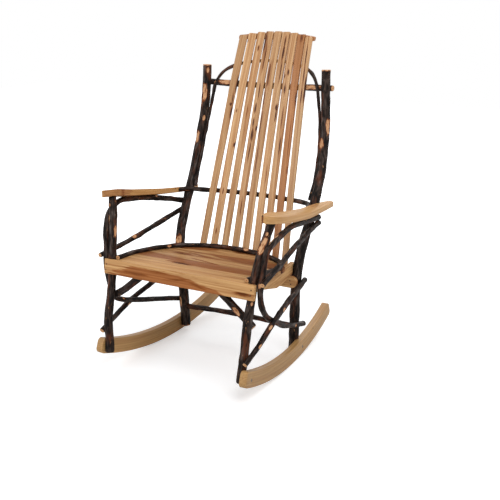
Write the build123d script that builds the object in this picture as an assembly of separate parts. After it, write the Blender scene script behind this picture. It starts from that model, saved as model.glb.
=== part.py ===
from build123d import *
import os
from math import atan, atan2, cos, degrees, hypot, radians, sin, sqrt, tan

# Hickory rocking chair, in millimetres, +Z up. The sitter looks along -Y, and left and right
# are as seen from the front, so left is -X. While it is built, X = 0 is the middle of the
# chair, Y = 0 is near the front posts at seat height and Z = 0 is the floor. At the end the
# whole chair is moved so that the origin lies under the middle of its bounding box.
#
# Sticks are poles with their bark on: tapered straight runs joined by tangent bends, with a
# shallow hollow coped where they are nailed against another pole. Boards are sawn and bent.

LEFT, RIGHT = -1, 1

# ---------------------------------------------------------------- fits
fit_gap = 0.2           # air left between two nailed or seated faces
board_joint = 0.4       # air between two seat boards
cope_depth = 2.5        # how far a stick is let into the post that it is nailed to
bend_share = 0.42       # part of the shorter run that a bend takes up
end_bevel = 1.5         # bevel round a sawn stick end
board_edge = 2.0        # rounding of a board's worn edges

# ---------------------------------------------------------------- main heights and widths
seat_height = 405.0         # top of the front apron
arm_rise = 236.0            # seat height to the top of an arm above its front post
back_height = 1152.0        # top of the middle slat
front_half_span = 281.0     # middle of the chair to a front post's axis, at the seat
rear_half_span = 261.0      # middle of the chair to a rear post's axis, at the seat
seat_depth = 394.0          # front posts to the rear edge of the seat
arm_height = seat_height + arm_rise

# ---------------------------------------------------------------- rockers
rocker_radius = 1105.0
rocker_depth = 55.0
rocker_thickness = 26.5
rocker_half_spacing = 257.0     # middle of the chair to a rocker's inner face, at the low point
rocker_toe = 3.15               # degrees that each rocker opens to the front
rocker_front_reach = 432.0      # low point to the nose
rocker_rear_reach = 396.0       # low point to the tail
low_point = 306.0               # Y of the rocker's lowest point, under the balance of the chair
rocker_tip_round = 16.0
foot_clearance = 9.0            # a post's foot ends this far above the rocker's lower edge

# ---------------------------------------------------------------- posts
front_post_butt = 29.0
front_post_tip = 26.5
rear_post_butt = 34.0
rear_post_tip = 28.5
rear_post_above_rail = 70.0     # a rear post's top above the top rail

# ---------------------------------------------------------------- sticks
hoop_butt = 19.0
hoop_tip = 17.0
brace_butt = 18.0
brace_tip = 16.0
corner_brace_butt = 25.0
corner_brace_tip = 22.0
stretcher_diameter = 18.0
stretcher_tenon = 12.0
stretcher_height = 105.0
top_rail_butt = 19.5
top_rail_tip = 17.5
top_rail_drop = 195.0           # the top rail's axis below the top of the slats
middle_rail_diameter = 16.0
middle_rail_drop = 84.0         # the middle rail's axis below the arm's front
arch_butt = 10.0
arch_tip = 9.0
arch_drop = 107.0               # the arch's axis below the top of the slats
seat_hoop_diameter = 16.0
top_rail_height = back_height - top_rail_drop

# ---------------------------------------------------------------- arms
arm_thickness_front = 24.0
arm_thickness_rear = 18.0
arm_tilt = 15.0             # degrees that an arm slopes down to its outer edge
arm_bend_radius = 300.0
arm_sag = {LEFT: 0.0, RIGHT: 11.0}    # an arm's front lies this much lower

# ---------------------------------------------------------------- seat
seat_thickness = 12.0
seat_rear_radius = 382.0
seat_corner_radius = 90.0
seat_bend_radius = 250.0
seat_board_count = 5
seat_hoop_inset = 3.5
apron_height = 52.0
apron_thickness = 16.0
apron_half_length = 299.0
apron_lean = 8.7            # degrees that the apron leans back
apron_face = -21.0          # Y of the apron's front face at its top edge
side_rail_thickness = 18.0
side_rail_depth = 35.0
side_rail_tail = 28.0       # a side rail ends this far behind the rear rail
rear_rail_thickness = 14.0
rear_rail_half_length = 266.0
rear_rail_height = 44.0
rear_rail_drop = 93.0       # the rear rail's top below the apron's top

# ---------------------------------------------------------------- slat back
slat_count = 9
slat_thickness = 9.5
slat_width_low = 25.0
slat_width_high = 30.0
slat_pitch_low = 44.5       # spacing of the slats at fan_low
slat_pitch_high = 34.8      # spacing of the slats at fan_high
fan_low_drop = 40.0         # fan_low below the seat height
fan_high_drop = 29.0        # fan_high below the top of the slats
hollow_radius = 898.0       # radius of the hollow of the back, at fan_low
back_shift = 6.0            # the slats stand this far to the right of the middle
slat_foot_drop = 137.0      # the slats' lower ends below the seat height
slat_bend_radius = 900.0
slat_corner = 5.0
outer_slat_corner = 13.0
crest_drop = 13.0           # the outer slats end this much lower than the middle one
crest_below_top = 31.5      # the crest rail's lower edge below the top of the middle slat
crest_height = 25.0
crest_thickness = 12.0
crest_half_length = 160.0
bottom_rail_drop = 120.0    # the bottom rail's lower edge below the seat height
bottom_rail_height = 40.0
bottom_rail_thickness = 14.0
bottom_rail_half_length = 262.0
slat_foot = seat_height - slat_foot_drop
fan_low = seat_height - fan_low_drop
fan_high = back_height - fan_high_drop
bottom_rail_low = seat_height - bottom_rail_drop

# ---------------------------------------------------------------- screws
screw_head = 11.0
screw_shank = 5.0
screw_head_depth = 3.0
screw_reach = 15.0          # length of a screw inside the post
screw_clearance = 0.15


# ---------------------------------------------------------------- lines of the posts
def rocker_edge(y):
    """Height of a rocker's lower edge above the floor."""
    return rocker_radius - sqrt(rocker_radius ** 2 - (y - low_point) ** 2)


def front_post_line(side, foot, knee, seat):
    """Axis of a front post, from its foot beside the rocker to its top under the arm."""
    points = [
        (-18, foot, rocker_edge(foot) + foot_clearance),
        (-15, foot + 8, 120),
        (-11, knee, seat_height - 207),
        (-7, seat - 24, seat_height - 112),
        (-3, seat - 9, seat_height - 55),
        (0, seat, seat_height),
        (16, 30, arm_height - 141),
        (27, 51, arm_height - 85),
        (40, 68, arm_height - 27),
    ]
    return [(side * (front_half_span + x), y, z) for x, y, z in points]


def above_arm(share):
    """Height at a share of the way from the arms to the top rail."""
    return arm_height + share * (top_rail_height - arm_height)


def rear_post_line(side):
    """Axis of a rear post, from its foot to its sawn top beside the slats."""
    points = [
        (-21, 392, rocker_edge(392) + foot_clearance),
        (-18, 392, 120),
        (-12, 384, seat_height - 143),
        (-4, 389, seat_height - 53),
        (2, 415, seat_height + 20),
        (9, 484, arm_height - 99),
        (10, 536, arm_height - 1),
        (6, 576, above_arm(0.36)),
        (-2, 600, above_arm(0.69)),
        (-8, 608, top_rail_height),
        (-9, 611, top_rail_height + rear_post_above_rail),
    ]
    return [(side * (rear_half_span + x), y, z) for x, y, z in points]


front_line = {LEFT: front_post_line(LEFT, -66, -58, 0), RIGHT: front_post_line(RIGHT, -50, -30, 8)}
rear_line = {LEFT: rear_post_line(LEFT), RIGHT: rear_post_line(RIGHT)}


def crossing(line, height):
    """Distance from the middle, and Y, of a post's axis at a height."""
    pairs = list(zip(line, line[1:]))
    low, high = next((pair for pair in pairs if height <= pair[1][2]), pairs[-1])
    share = (height - low[2]) / (high[2] - low[2])
    x, y = (low[axis] + share * (high[axis] - low[axis]) for axis in (0, 1))
    return abs(x), y


# ---------------------------------------------------------------- poles
def run_skin(start, end, start_radius, end_radius, seam):
    """The curved face of one straight, tapered run of a pole."""
    plane = Plane(origin=start, x_dir=seam, z_dir=end - start)
    length = (end - start).length
    if abs(start_radius - end_radius) < 0.001:
        run = Solid.make_cylinder(start_radius, length, plane)
    else:
        run = Solid.make_cone(start_radius, end_radius, length, plane)
    return [face for face in run.faces() if face.geom_type != GeomType.PLANE]


def bend_skin(entry, direction, axle, bend_radius, turn, radius, seam):
    """The curved face of the bend that carries a pole from one run to the next."""
    middle = entry + axle.cross(direction).normalized() * bend_radius
    section = Plane(origin=entry, x_dir=seam, z_dir=direction) * Circle(radius)
    bend = Solid.revolve(section.face(), turn, Axis(middle, axle))
    return [face for face in bend.faces() if face.geom_type != GeomType.PLANE]


def end_cap(center, outward, radius, seam):
    """The flat face at one end of a pole."""
    return (Plane(origin=center, x_dir=seam, z_dir=outward) * Circle(radius)).face()


def pole(line, butt, tip, bevel=0.0):
    """A stick along a line of points: cones and tangent bends, tapered from butt to tip."""
    points = [Vector(*point) for point in line]
    runs = [end - start for start, end in zip(points, points[1:])]
    whole = sum(run.length for run in runs)
    seam = Plane(origin=points[0], z_dir=runs[0]).x_dir
    radius = butt / 2
    skin = [end_cap(points[0], -runs[0], radius - bevel, seam)]
    start = points[0] + runs[0].normalized() * bevel
    if bevel:
        skin += run_skin(points[0], start, radius - bevel, radius, seam)
    travelled = 0.0
    for corner, run, following in zip(points[1:], runs, runs[1:]):
        travelled += run.length
        size = (butt + (tip - butt) * travelled / whole) / 2
        reach = bend_share * min(run.length, following.length)
        turn = run.get_angle(following)
        axle = run.cross(following).normalized()
        entry = corner - run.normalized() * reach
        skin += run_skin(start, entry, radius, size, seam)
        skin += bend_skin(entry, run, axle, reach / tan(radians(turn / 2)), turn, size, seam)
        seam = seam.rotate(Axis((0, 0, 0), axle), turn)
        start = corner + following.normalized() * reach
        radius = size
    last = points[-1] - runs[-1].normalized() * bevel
    skin += run_skin(start, last, radius, tip / 2, seam)
    if bevel:
        skin += run_skin(last, points[-1], tip / 2, tip / 2 - bevel, seam)
    skin.append(end_cap(points[-1], runs[-1], tip / 2 - bevel, seam))
    return Solid(Shell(skin))


def room_for(line, butt, tip):
    """The room that a pole takes, with the fit gap round it."""
    return pole(line, butt + 2 * fit_gap, tip + 2 * fit_gap)


front_room = {side: room_for(front_line[side], front_post_butt, front_post_tip) for side in (LEFT, RIGHT)}
rear_room = {side: room_for(rear_line[side], rear_post_butt, rear_post_tip) for side in (LEFT, RIGHT)}


def other_side(side, shape):
    """A shape modelled on the right, or its mirror image on the left."""
    return shape if side == RIGHT else mirror(shape, Plane.YZ)


def side_view(outline):
    """An outline given as Y and Z, stood up in the middle plane of the chair."""
    return Plane(origin=(0, 0, 0), x_dir=(0, 1, 0), z_dir=(1, 0, 0)) * outline


def front_view(outline, y=0.0):
    """An outline given as X and Z, stood up across the chair and facing the front."""
    return Plane(origin=(0, y, 0), x_dir=(1, 0, 0), z_dir=(0, -1, 0)) * outline


def between(first, second):
    """The face between two open lines that run the same way."""
    ends = [Line(first @ 0, second @ 0), Line(first @ 1, second @ 1)]
    return make_face([first, second] + ends)


# ---------------------------------------------------------------- rockers and screws
def rocker_blank(margin=0.0):
    """The right rocker as sawn from a plank: two arcs, turned outwards by its toe."""
    nose = -90 - degrees(atan((rocker_front_reach + margin) / rocker_radius))
    sweep = degrees(atan((rocker_rear_reach + margin) / rocker_radius)) - 90 - nose
    lower = CenterArc((0, 0), rocker_radius + margin, nose, sweep)
    upper = CenterArc((0, 0), rocker_radius - rocker_depth - margin, nose, sweep)
    outline = between(lower, upper)
    outline = fillet(outline.vertices(), rocker_tip_round + margin)
    board = extrude(side_view(Pos(0, rocker_radius) * outline), rocker_thickness + 2 * margin)
    return Pos(rocker_half_spacing - margin, low_point, 0) * Rot(0, 0, rocker_toe) * board


def screw(side, line, margin=0.0):
    """The countersunk screw driven through a rocker into the axis of a post."""
    x, y = crossing(line, rocker_edge(line[0][1]) + rocker_depth / 2)
    toe = radians(rocker_toe)
    face_x = rocker_half_spacing + rocker_thickness / cos(toe) - (y - low_point) * tan(toe)
    height = rocker_edge(y) + rocker_depth / 2
    inward = Vector(-1, 0, 0).rotate(Axis.Z, rocker_toe)
    plane = Plane(origin=(face_x, y, height), z_dir=inward)
    shank = Solid.make_cylinder(screw_shank / 2 + margin, rocker_thickness + screw_reach + margin, plane)
    head = Solid.make_cone(screw_head / 2 + margin, screw_shank / 2 + margin, screw_head_depth, plane)
    return other_side(side, shank.fuse(head))


screw_lines = [(side, line[side]) for side in (LEFT, RIGHT) for line in (front_line, rear_line)]
screws = [screw(side, line) for side, line in screw_lines]
screw_holes = {side: [screw(at, line, screw_clearance) for at, line in screw_lines if at == side]
               for side in (LEFT, RIGHT)}
rocker_room = {side: other_side(side, rocker_blank(fit_gap)) for side in (LEFT, RIGHT)}


def rocker(side):
    """A rocker with its curved edges eased and its screw holes."""
    blank = rocker_blank()
    eased = chamfer(blank.edges().filter_by(GeomType.CIRCLE), end_bevel)
    front_hole, rear_hole = screw_holes[side]
    return other_side(side, eased) - front_hole - rear_hole


# ---------------------------------------------------------------- arms
def arm_line(side):
    """An arm's upper face from the side, as Y and Z, from its front end to its rear end."""
    front_height = arm_height - arm_sag[side]
    return [
        (-2, front_height + 3),
        (70, front_height - 8),
        (152, front_height - 26),
        (330, arm_height - 61 - 0.8 * arm_sag[side]),
        (500, arm_height - 88),
        (588, arm_height - 96),
    ]


arm_at_post = crossing(rear_line[RIGHT], arm_height - 88)[0] + rear_post_butt / 2 - cope_depth
arm_reference = arm_at_post + 27.5      # X at which the arm's line gives its height


def arm_top(side, x, y):
    """Height of an arm's upper face at a place, taken along its line and its tilt."""
    line = arm_line(side)
    low, high = next(pair for pair in zip(line, line[1:]) if y <= pair[1][0])
    along = low[1] + (y - low[0]) / (high[0] - low[0]) * (high[1] - low[1])
    return along - (x - arm_reference) * tan(radians(arm_tilt))


def arm_outline(margin):
    """An arm from above: widest in front of the middle, straight where it passes the post."""
    outer = [(38, 12), (53, 75), (53.5, 150), (42.5, 330), (29.5, 480), (19.5, 588)]
    inner = [(27, 2), (15.5, 52), (13.5, 141), (8.5, 257), (0, 440), (0, 530), (8, 588)]
    outer_edge = Spline(*[(arm_at_post + x + margin, y) for x, y in outer])
    inner_edge = Spline(*[(arm_at_post + x - margin, y) for x, y in inner])
    return between(outer_edge, inner_edge)


def arm_blank(side, margin=0.0):
    """An arm, before it is mirrored: a bent board, tilted outwards, within its outline from above."""
    line = arm_line(side)
    front, rear = line[0][0], line[-1][0]
    under = []
    for y, z in line:
        share = (y - front) / (rear - front)
        thickness = arm_thickness_front + share * (arm_thickness_rear - arm_thickness_front)
        under.append((y, z - thickness - margin))
    top = FilletPolyline(*[(y, z + margin) for y, z in line], radius=arm_bend_radius)
    bottom = FilletPolyline(*under, radius=arm_bend_radius)
    profile = Pos(arm_reference, 0, 0) * side_view(between(top, bottom))
    across = Vector(cos(radians(arm_tilt)), 0, -sin(radians(arm_tilt)))
    slab = extrude(profile, amount=arm_reference / 4, dir=across)
    slab += extrude(profile, amount=arm_reference / 4, dir=-across)
    return slab & extrude(arm_outline(margin), amount=2 * arm_height)


arm_room = {side: other_side(side, arm_blank(side, fit_gap)) for side in (LEFT, RIGHT)}


# ---------------------------------------------------------------- seat
def apron(margin=0.0):
    """The front board, leaning back with the front posts."""
    size = (2 * apron_half_length, apron_thickness, apron_height)
    board = Box(*[length + 2 * margin for length in size], align=(Align.CENTER, Align.MIN, Align.MAX))
    if not margin:
        board = fillet(board.edges().filter_by(Axis.X), board_edge)
    return Pos(0, apron_face, seat_height) * Rot(-apron_lean, 0, 0) * Pos(0, -margin, margin) * board


apron_room = apron(fit_gap)
apron_back = apron_face + apron_thickness
seat_half_width = front_half_span - front_post_butt / 2 - 1.5
seat_front = apron_back + fit_gap
seat_line = [
    (seat_front - 20, seat_height - 3),
    (60, seat_height - 6),
    (125, seat_height - 14),
    (235, seat_height - 31.5),
    (310, seat_height - 38),
    (seat_depth + 30, seat_height - 38.5),
]


def seat_top(y):
    """Height of the seat along its middle."""
    low, high = next(pair for pair in zip(seat_line, seat_line[1:]) if y <= pair[1][0])
    return low[1] + (y - low[0]) / (high[0] - low[0]) * (high[1] - low[1])


def seat_slab(lift, depth):
    """A slab that follows the dip of the seat, its top lifted from the seat's top."""
    top = FilletPolyline(*[(y, z + lift) for y, z in seat_line], radius=seat_bend_radius)
    profile = between(top, Pos(0, -depth) * top)
    return extrude(side_view(profile), amount=1.2 * seat_half_width, both=True)


def seat_outline():
    """The seat from above: straight sides, rounded rear corners and a bowed rear edge."""
    corner_y = seat_depth - seat_rear_radius + sqrt(seat_rear_radius ** 2 - seat_half_width ** 2)
    front_and_sides = Polyline((-seat_half_width, corner_y), (-seat_half_width, seat_front),
                               (seat_half_width, seat_front), (seat_half_width, corner_y))
    rear = ThreePointArc((-seat_half_width, corner_y), (0, seat_depth), (seat_half_width, corner_y))
    face = make_face([front_and_sides, rear])
    return fillet(face.vertices().sort_by(Axis.Y)[2:], seat_corner_radius)


def seat_boards():
    """The seat, cut into boards that run from side to side."""
    seat = seat_slab(0, seat_thickness) & extrude(seat_outline(), amount=2 * seat_height)
    seat = seat - apron_room - front_room[LEFT] - front_room[RIGHT]
    pitch = (seat_depth - seat_front + board_joint) / seat_board_count
    size = (4 * seat_half_width, pitch - board_joint, seat_height)
    strip = Box(*size, align=(Align.CENTER, Align.MIN, Align.CENTER))
    starts = [seat_front + index * pitch for index in range(seat_board_count)]
    return [seat & (Pos(0, start, seat_height) * strip) for start in starts]


rear_rail_top = seat_height - rear_rail_drop
rear_rail_back = (crossing(rear_line[RIGHT], rear_rail_top - rear_rail_height / 2)[1]
                  - rear_post_butt / 2 + cope_depth - 1)


def rear_rail_blank(margin=0.0):
    """The board across the fronts of the rear posts, with rounded ends."""
    outline = SlotOverall(2 * rear_rail_half_length + 2 * margin, rear_rail_height + 2 * margin)
    outline = Pos(0, rear_rail_top - rear_rail_height / 2) * outline
    return extrude(front_view(outline, rear_rail_back + margin), rear_rail_thickness + 2 * margin)


def side_rail(side):
    """The shaped board under one edge of the seat, on the inner faces of its posts."""
    rear_end = rear_rail_back + side_rail_tail
    under_seat = [(y, z - seat_thickness - fit_gap) for y, z in seat_line]
    top = FilletPolyline(*under_seat, radius=seat_bend_radius)
    depths = [4, 2, 6, 19, 9, -10]
    below = [(y, z - side_rail_depth - depth) for (y, z), depth in zip(under_seat, depths)]
    bottom = FilletPolyline(*below, radius=seat_bend_radius / 3)
    front_x = crossing(front_line[RIGHT], seat_height - 40)[0] - front_post_butt / 2 + 1
    rear_x = crossing(rear_line[RIGHT], seat_height - 70)[0] - rear_post_butt / 2 + 2
    plan = Polyline((front_x, seat_front), (rear_x, rear_end), (rear_x - side_rail_thickness, rear_end),
                    (front_x - side_rail_thickness, seat_front), close=True)
    slab = extrude(side_view(between(top, bottom)), amount=2 * seat_half_width)
    board = other_side(side, slab & extrude(make_face(plan), amount=2 * seat_height))
    return board - apron_room - front_room[side] - rear_room[side] - rear_rail_blank(fit_gap)


def seat_hoop():
    """The stick bent round the top of the seat's edge."""
    side_x = seat_half_width - seat_hoop_inset
    flat = [
        (side_x - 3, seat_front + 6),
        (side_x, 110),
        (side_x, seat_depth - 190),
        (side_x - 9, seat_depth - 132),
        (side_x - 40, seat_depth - 76),
        (side_x - 112, seat_depth - 33),
        (60, seat_depth - 10),
    ]
    half = [(x, y, seat_top(y) + seat_hoop_diameter / 2 - 1) for x, y in flat]
    line = [(-x, y, z) for x, y, z in half] + half[::-1]
    stick = pole(line, seat_hoop_diameter, seat_hoop_diameter, end_bevel)
    stick -= seat_slab(fit_gap, seat_thickness + 2 * fit_gap)
    return stick - front_room[LEFT] - front_room[RIGHT] - apron_room


# ---------------------------------------------------------------- sticks of the sides
def outside(side, y, z, stick, layers=0.0):
    """A point for a stick's axis just outside the posts of one side.

    The posts give X at that height; layers is what lies between the stick and the post.
    """
    front_x, front_y = crossing(front_line[side], z)
    rear_x, rear_y = crossing(rear_line[side], z)
    share = min(max((y - front_y) / (rear_y - front_y), 0.0), 1.0)
    axis_x = front_x + share * (rear_x - front_x)
    post = (front_post_butt + share * (rear_post_butt - front_post_butt)) / 2
    return side * (axis_x + post + stick / 2 + layers - cope_depth), y, z


past_apron = apron_half_length - front_half_span - front_post_butt / 2 + cope_depth + fit_gap

hoop_places = {
    LEFT: [
        (486, arm_height - 136, 0), (337, arm_height - 94, 0), (222, arm_height - 71, 0),
        (118, arm_height - 57, 0), (48, arm_height - 88, 0), (16, arm_height - 147, 0),
        (2, seat_height + 25, 2), (-4, seat_height - 26, past_apron),
        (-2, seat_height - 90, past_apron), (14, seat_height - 157, 1), (58, seat_height - 178, 0),
        (152, seat_height - 208, 0), (300, seat_height - 250, 0), (425, seat_height - 288, 0),
    ],
    RIGHT: [
        (484, arm_height - 130, 0), (346, arm_height - 112, 0), (202, arm_height - 93, 0),
        (102, arm_height - 107, 0), (24, arm_height - 130, 0), (16, seat_height + 64, 2),
        (14, seat_height + 23, 4), (3, seat_height - 26, past_apron),
        (18, seat_height - 84, past_apron), (82, seat_height - 148, 1), (154, seat_height - 189, 0),
        (228, seat_height - 232, 0), (340, seat_height - 271, 0), (424, seat_height - 294, 0),
    ],
}
upper_brace_places = {
    LEFT: [(467, seat_height + 73, 0), (350, seat_height + 54, 5), (173, seat_height + 24, 14),
           (80, seat_height + 14, 18), (-14, seat_height + 6, hoop_butt + 4)],
    RIGHT: [(489, seat_height + 85, 0), (350, seat_height + 73, 5), (158, seat_height + 38, 14),
            (-16, seat_height + 3, hoop_butt + 4)],
}
lower_brace_places = {
    LEFT: [(412, 292, 0), (247, 238, 9), (130, 208, hoop_butt), (60, 190, hoop_butt - 6), (-72, 152, 0)],
    RIGHT: [(413, 290, 0), (190, 253, 13), (110, 240, hoop_butt + 1), (76, 224, hoop_butt - 2),
            (20, 180, 6), (-66, 144, 0)],
}


def side_line(side, places, stick):
    """The axis of a stick on the outside of one side."""
    return [outside(side, y, z, stick, layers) for y, z, layers in places[side]]


def side_stick(side, places, butt, tip):
    """A stick on the outside of one side, coped to both posts."""
    stick = pole(side_line(side, places, butt), butt, tip, end_bevel)
    return stick - front_room[side] - rear_room[side]


# ---------------------------------------------------------------- slat back
def foot_hollow():
    """How far the hollow of the back brings the bottom rail's end forward."""
    reach = rear_half_span - rear_post_butt / 2 - back_shift
    return reach ** 2 / (2 * hollow_radius)


bottom_rail_middle = bottom_rail_low + bottom_rail_height / 2
post_back = crossing(rear_line[RIGHT], bottom_rail_middle)[1] + rear_post_butt / 2 - cope_depth / 2
slat_base = post_back + foot_hollow() - slat_thickness
slat_line = [
    (slat_base - 13, slat_foot),
    (slat_base + 17, seat_height - 50),
    (slat_base + 76, arm_height - 86),
    (slat_base + 208, top_rail_height + 1),
    (slat_base + 235, back_height - 122),
    (slat_base + 285, back_height),
]


def slat_run(height):
    """The straight run of the middle slat at a height."""
    return next(pair for pair in zip(slat_line, slat_line[1:]) if height <= pair[1][1])


def slat_front(height):
    """Y of the middle slat's front face at a height."""
    low, high = slat_run(height)
    return low[0] + (height - low[1]) / (high[1] - low[1]) * (high[0] - low[0])


def slat_stretch(height):
    """Length along Y of a level cut through something one unit thick that leans like a slat."""
    low, high = slat_run(height)
    return hypot(1, (high[0] - low[0]) / (high[1] - low[1]))


rise_y = slat_front(fan_high) - slat_front(fan_low)
rise_z = fan_high - fan_low
rise = hypot(rise_y, rise_z)
apex_distance = rise * slat_pitch_low / (slat_pitch_low - slat_pitch_high)
cone_angle = atan(hollow_radius / apex_distance)
cone_radius = apex_distance * sin(cone_angle)
axis_lean = atan2(rise_y, rise_z) + cone_angle
apex_y = slat_front(fan_low) + rise_y / rise * apex_distance
apex_z = fan_low + rise_z / rise * apex_distance
fan_axis = Axis((back_shift, apex_y, apex_z), (0, -sin(axis_lean), -cos(axis_lean)))
fan_step = degrees(slat_pitch_low / cone_radius)


def hollow(x, height):
    """How far the hollow of the back brings a place forward of the middle slat."""
    distance = apex_distance - (height - fan_low) * rise / rise_z
    level_radius = distance * tan(cone_angle) * rise_z / rise
    return (x - back_shift) ** 2 / (2 * level_radius)


def slat_blank():
    """The bent strip that every slat is cut from."""
    front = FilletPolyline(*slat_line, radius=slat_bend_radius)
    rear_points = [(y + slat_thickness * slat_stretch(z), z) for y, z in slat_line]
    rear = FilletPolyline(*rear_points, radius=slat_bend_radius)
    profile = Pos(back_shift, 0, 0) * side_view(between(front, rear))
    return extrude(profile, amount=slat_width_high, both=True)


def slat(place, blank):
    """One slat, counted from the middle: tapered, its upper corners rounded, then fanned."""
    outermost = (slat_count - 1) / 2
    lift = cone_radius * (1 - cos(radians(place * fan_step))) * sin(axis_lean)
    top = back_height - crest_drop * (place / outermost) ** 2 - lift
    low, high = slat_width_low / 2, slat_width_high / 2
    corners = Polyline((-low, slat_foot), (low, slat_foot), (high, top), (-high, top), close=True)
    outline = make_face(corners)
    left_round = outer_slat_corner if place == -outermost else slat_corner
    right_round = outer_slat_corner if place == outermost else slat_corner
    outline = fillet(outline.vertices().sort_by_distance((-high, top))[0], left_round)
    outline = fillet(outline.vertices().sort_by_distance((high, top))[0], right_round)
    cutter = extrude(front_view(Pos(back_shift, 0) * outline), amount=-2 * back_height)
    return (blank & cutter).rotate(fan_axis, place * fan_step)


def bent_rail(low, high, thickness, outline):
    """A rail bent to the hollow of the back, its front face against the backs of the slats."""
    stretch = slat_stretch((low + high) / 2)
    slope = sqrt(stretch ** 2 - 1)
    middle = (low + high) / 2
    face_y = slat_front(middle) + (slat_thickness + 2 * fit_gap) * stretch
    spare = high - low
    lower, upper = middle - spare, middle + spare
    section = Polyline((face_y - spare * slope, lower), (face_y + spare * slope, upper),
                       (face_y + spare * slope + thickness * stretch, upper),
                       (face_y - spare * slope + thickness * stretch, lower), close=True)
    face = (Pos(back_shift, 0, 0) * side_view(make_face(section))).face()
    blank = Solid.revolve(face.rotate(fan_axis, -30), 60, fan_axis)
    cutter = extrude(front_view(Pos(back_shift, 0) * outline), amount=-2 * back_height)
    return cutter & blank


def crest_rail():
    """The rail across the tops of the slats, straight below and arched above."""
    low = back_height - crest_below_top
    high = low + crest_height
    end = high - 0.75 * crest_drop
    lower = Line((-crest_half_length, low), (crest_half_length, low))
    upper = ThreePointArc((-crest_half_length, end), (0, high), (crest_half_length, end))
    outline = between(lower, upper)
    return bent_rail(low, high, crest_thickness, fillet(outline.vertices(), slat_corner))


def bottom_rail():
    """The rail behind the slats' feet, nailed to the backs of the rear posts."""
    high = bottom_rail_low + bottom_rail_height
    outline = Pos(-back_shift, bottom_rail_middle) * Rectangle(2 * bottom_rail_half_length, bottom_rail_height)
    outline = fillet(outline.vertices(), slat_corner)
    rail = bent_rail(bottom_rail_low, high, bottom_rail_thickness, outline)
    return rail - rear_room[LEFT] - rear_room[RIGHT]


# ---------------------------------------------------------------- sticks of the back
def behind_slats(x, height, stick):
    """A point for a stick's axis close behind the slats."""
    bow = 1.7
    offset = (slat_thickness + stick / 2 + fit_gap) * slat_stretch(height) + bow
    return x, slat_front(height) - hollow(x, height) + offset, height


def top_rail_line():
    """The axis of the stick behind the posts and the slats near the top."""
    z = top_rail_height
    post_x, post_y = crossing(rear_line[RIGHT], z)
    at_post = post_y + (rear_post_tip + top_rail_butt) / 2 - cope_depth + 1
    behind = [behind_slats(x, z + dz, top_rail_butt)
              for x, dz in ((-172, 0), (-84, -3), (4, -4), (92, -3), (182, 0))]
    return [(-post_x - 1, at_post, z + 2)] + behind + [(post_x + 22, at_post - 5, z + 3)]


def middle_rail():
    """The stick from arm to arm, let against the front of the rear posts, behind the slats."""
    z = arm_height - middle_rail_drop
    size = middle_rail_diameter
    post_x, post_y = crossing(rear_line[RIGHT], z)
    at_post = post_y - (rear_post_butt + size) / 2 + cope_depth + 1
    behind = [behind_slats(x, z, size) for x in (-186, -92, 4, 100, 196)]
    left_y, right_y = at_post - 30, at_post - 82
    drop = (arm_thickness_front + arm_thickness_rear) / 4
    end_x = arm_at_post + 4
    line = [(-end_x, left_y, arm_top(LEFT, arm_at_post, left_y) - drop), (-post_x + 6, at_post - 1, z + 2)]
    line += behind
    line += [(post_x - 8, at_post, z + 2), (end_x, right_y, arm_top(RIGHT, arm_at_post, right_y) - drop)]
    stick = pole(line, size, size)
    for side in (LEFT, RIGHT):
        stick = stick - rear_room[side] - arm_room[side]
    return stick


def beside_post(side, height, inset=0.0):
    """A point for the arch's axis on the inner side of a rear post."""
    x, y = crossing(rear_line[side], height)
    taper = (height - stretcher_height) / (top_rail_height - stretcher_height)
    post = rear_post_butt + (rear_post_tip - rear_post_butt) * taper
    return side * (x - (post + arch_butt) / 2 + 1 - inset), y, height


def back_arch():
    """The twig that springs from the middle rail, up the posts and over behind the slats."""
    foot = arm_height - middle_rail_drop + 9
    top = back_height - arch_drop
    before_rail = crossing(rear_line[RIGHT], top_rail_height)[1] + (rear_post_tip - arch_butt) / 2 - 1
    over = [behind_slats(x, z, arch_butt) for x, z in
            ((-146, top - 17), (-84, top - 5), (-15, top), (56, top - 2), (114, top - 10), (156, top - 22))]
    line = [beside_post(LEFT, foot, 4), beside_post(LEFT, foot + 80), beside_post(LEFT, foot + 190),
            beside_post(LEFT, above_arm(0.7), 7), (-221, before_rail, top_rail_height), (-196, before_rail + 22, top - 42)]
    line += over
    line += [(196, before_rail + 16, top - 48), (217, before_rail, top_rail_height),
             beside_post(RIGHT, above_arm(0.7), 5), beside_post(RIGHT, foot + 190), beside_post(RIGHT, foot + 80),
             beside_post(RIGHT, foot, 4)]
    return pole(line, arch_butt, arch_tip) - rear_room[LEFT] - rear_room[RIGHT]


# ---------------------------------------------------------------- sticks between the legs
def corner_brace(side):
    """A short thick stick, coped over the leg and against the back of the apron."""
    leg_x, leg_y = crossing(front_line[side], seat_height - 145)
    behind_leg = leg_y + (front_post_butt + corner_brace_butt) / 2 - cope_depth
    behind_apron = apron_back - 0.9 * apron_height * tan(radians(apron_lean)) + corner_brace_tip / 2
    low = seat_height - (150 if side == LEFT else 157)
    line = [
        (side * (leg_x + (26 if side == LEFT else 9)), behind_leg, low),
        (side * (leg_x - 37), behind_leg + 3, low + 37),
        (side * (front_half_span - 141), behind_apron, seat_height - 33),
    ]
    stick = pole(line, corner_brace_butt, corner_brace_tip, end_bevel)
    return stick - front_room[side] - apron_room


def stretcher_line(spare=0.0):
    """Across between the rear legs, ending in a tenon in each."""
    z = stretcher_height
    x, y = crossing(rear_line[RIGHT], z)
    end = x - rear_post_butt / 2 + stretcher_tenon + spare
    return [(-end, y, z - 6), (-120, y + 2, z), (-10, y + 4, z + 3), (110, y + 4, z + 2), (end, y, z)]


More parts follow.
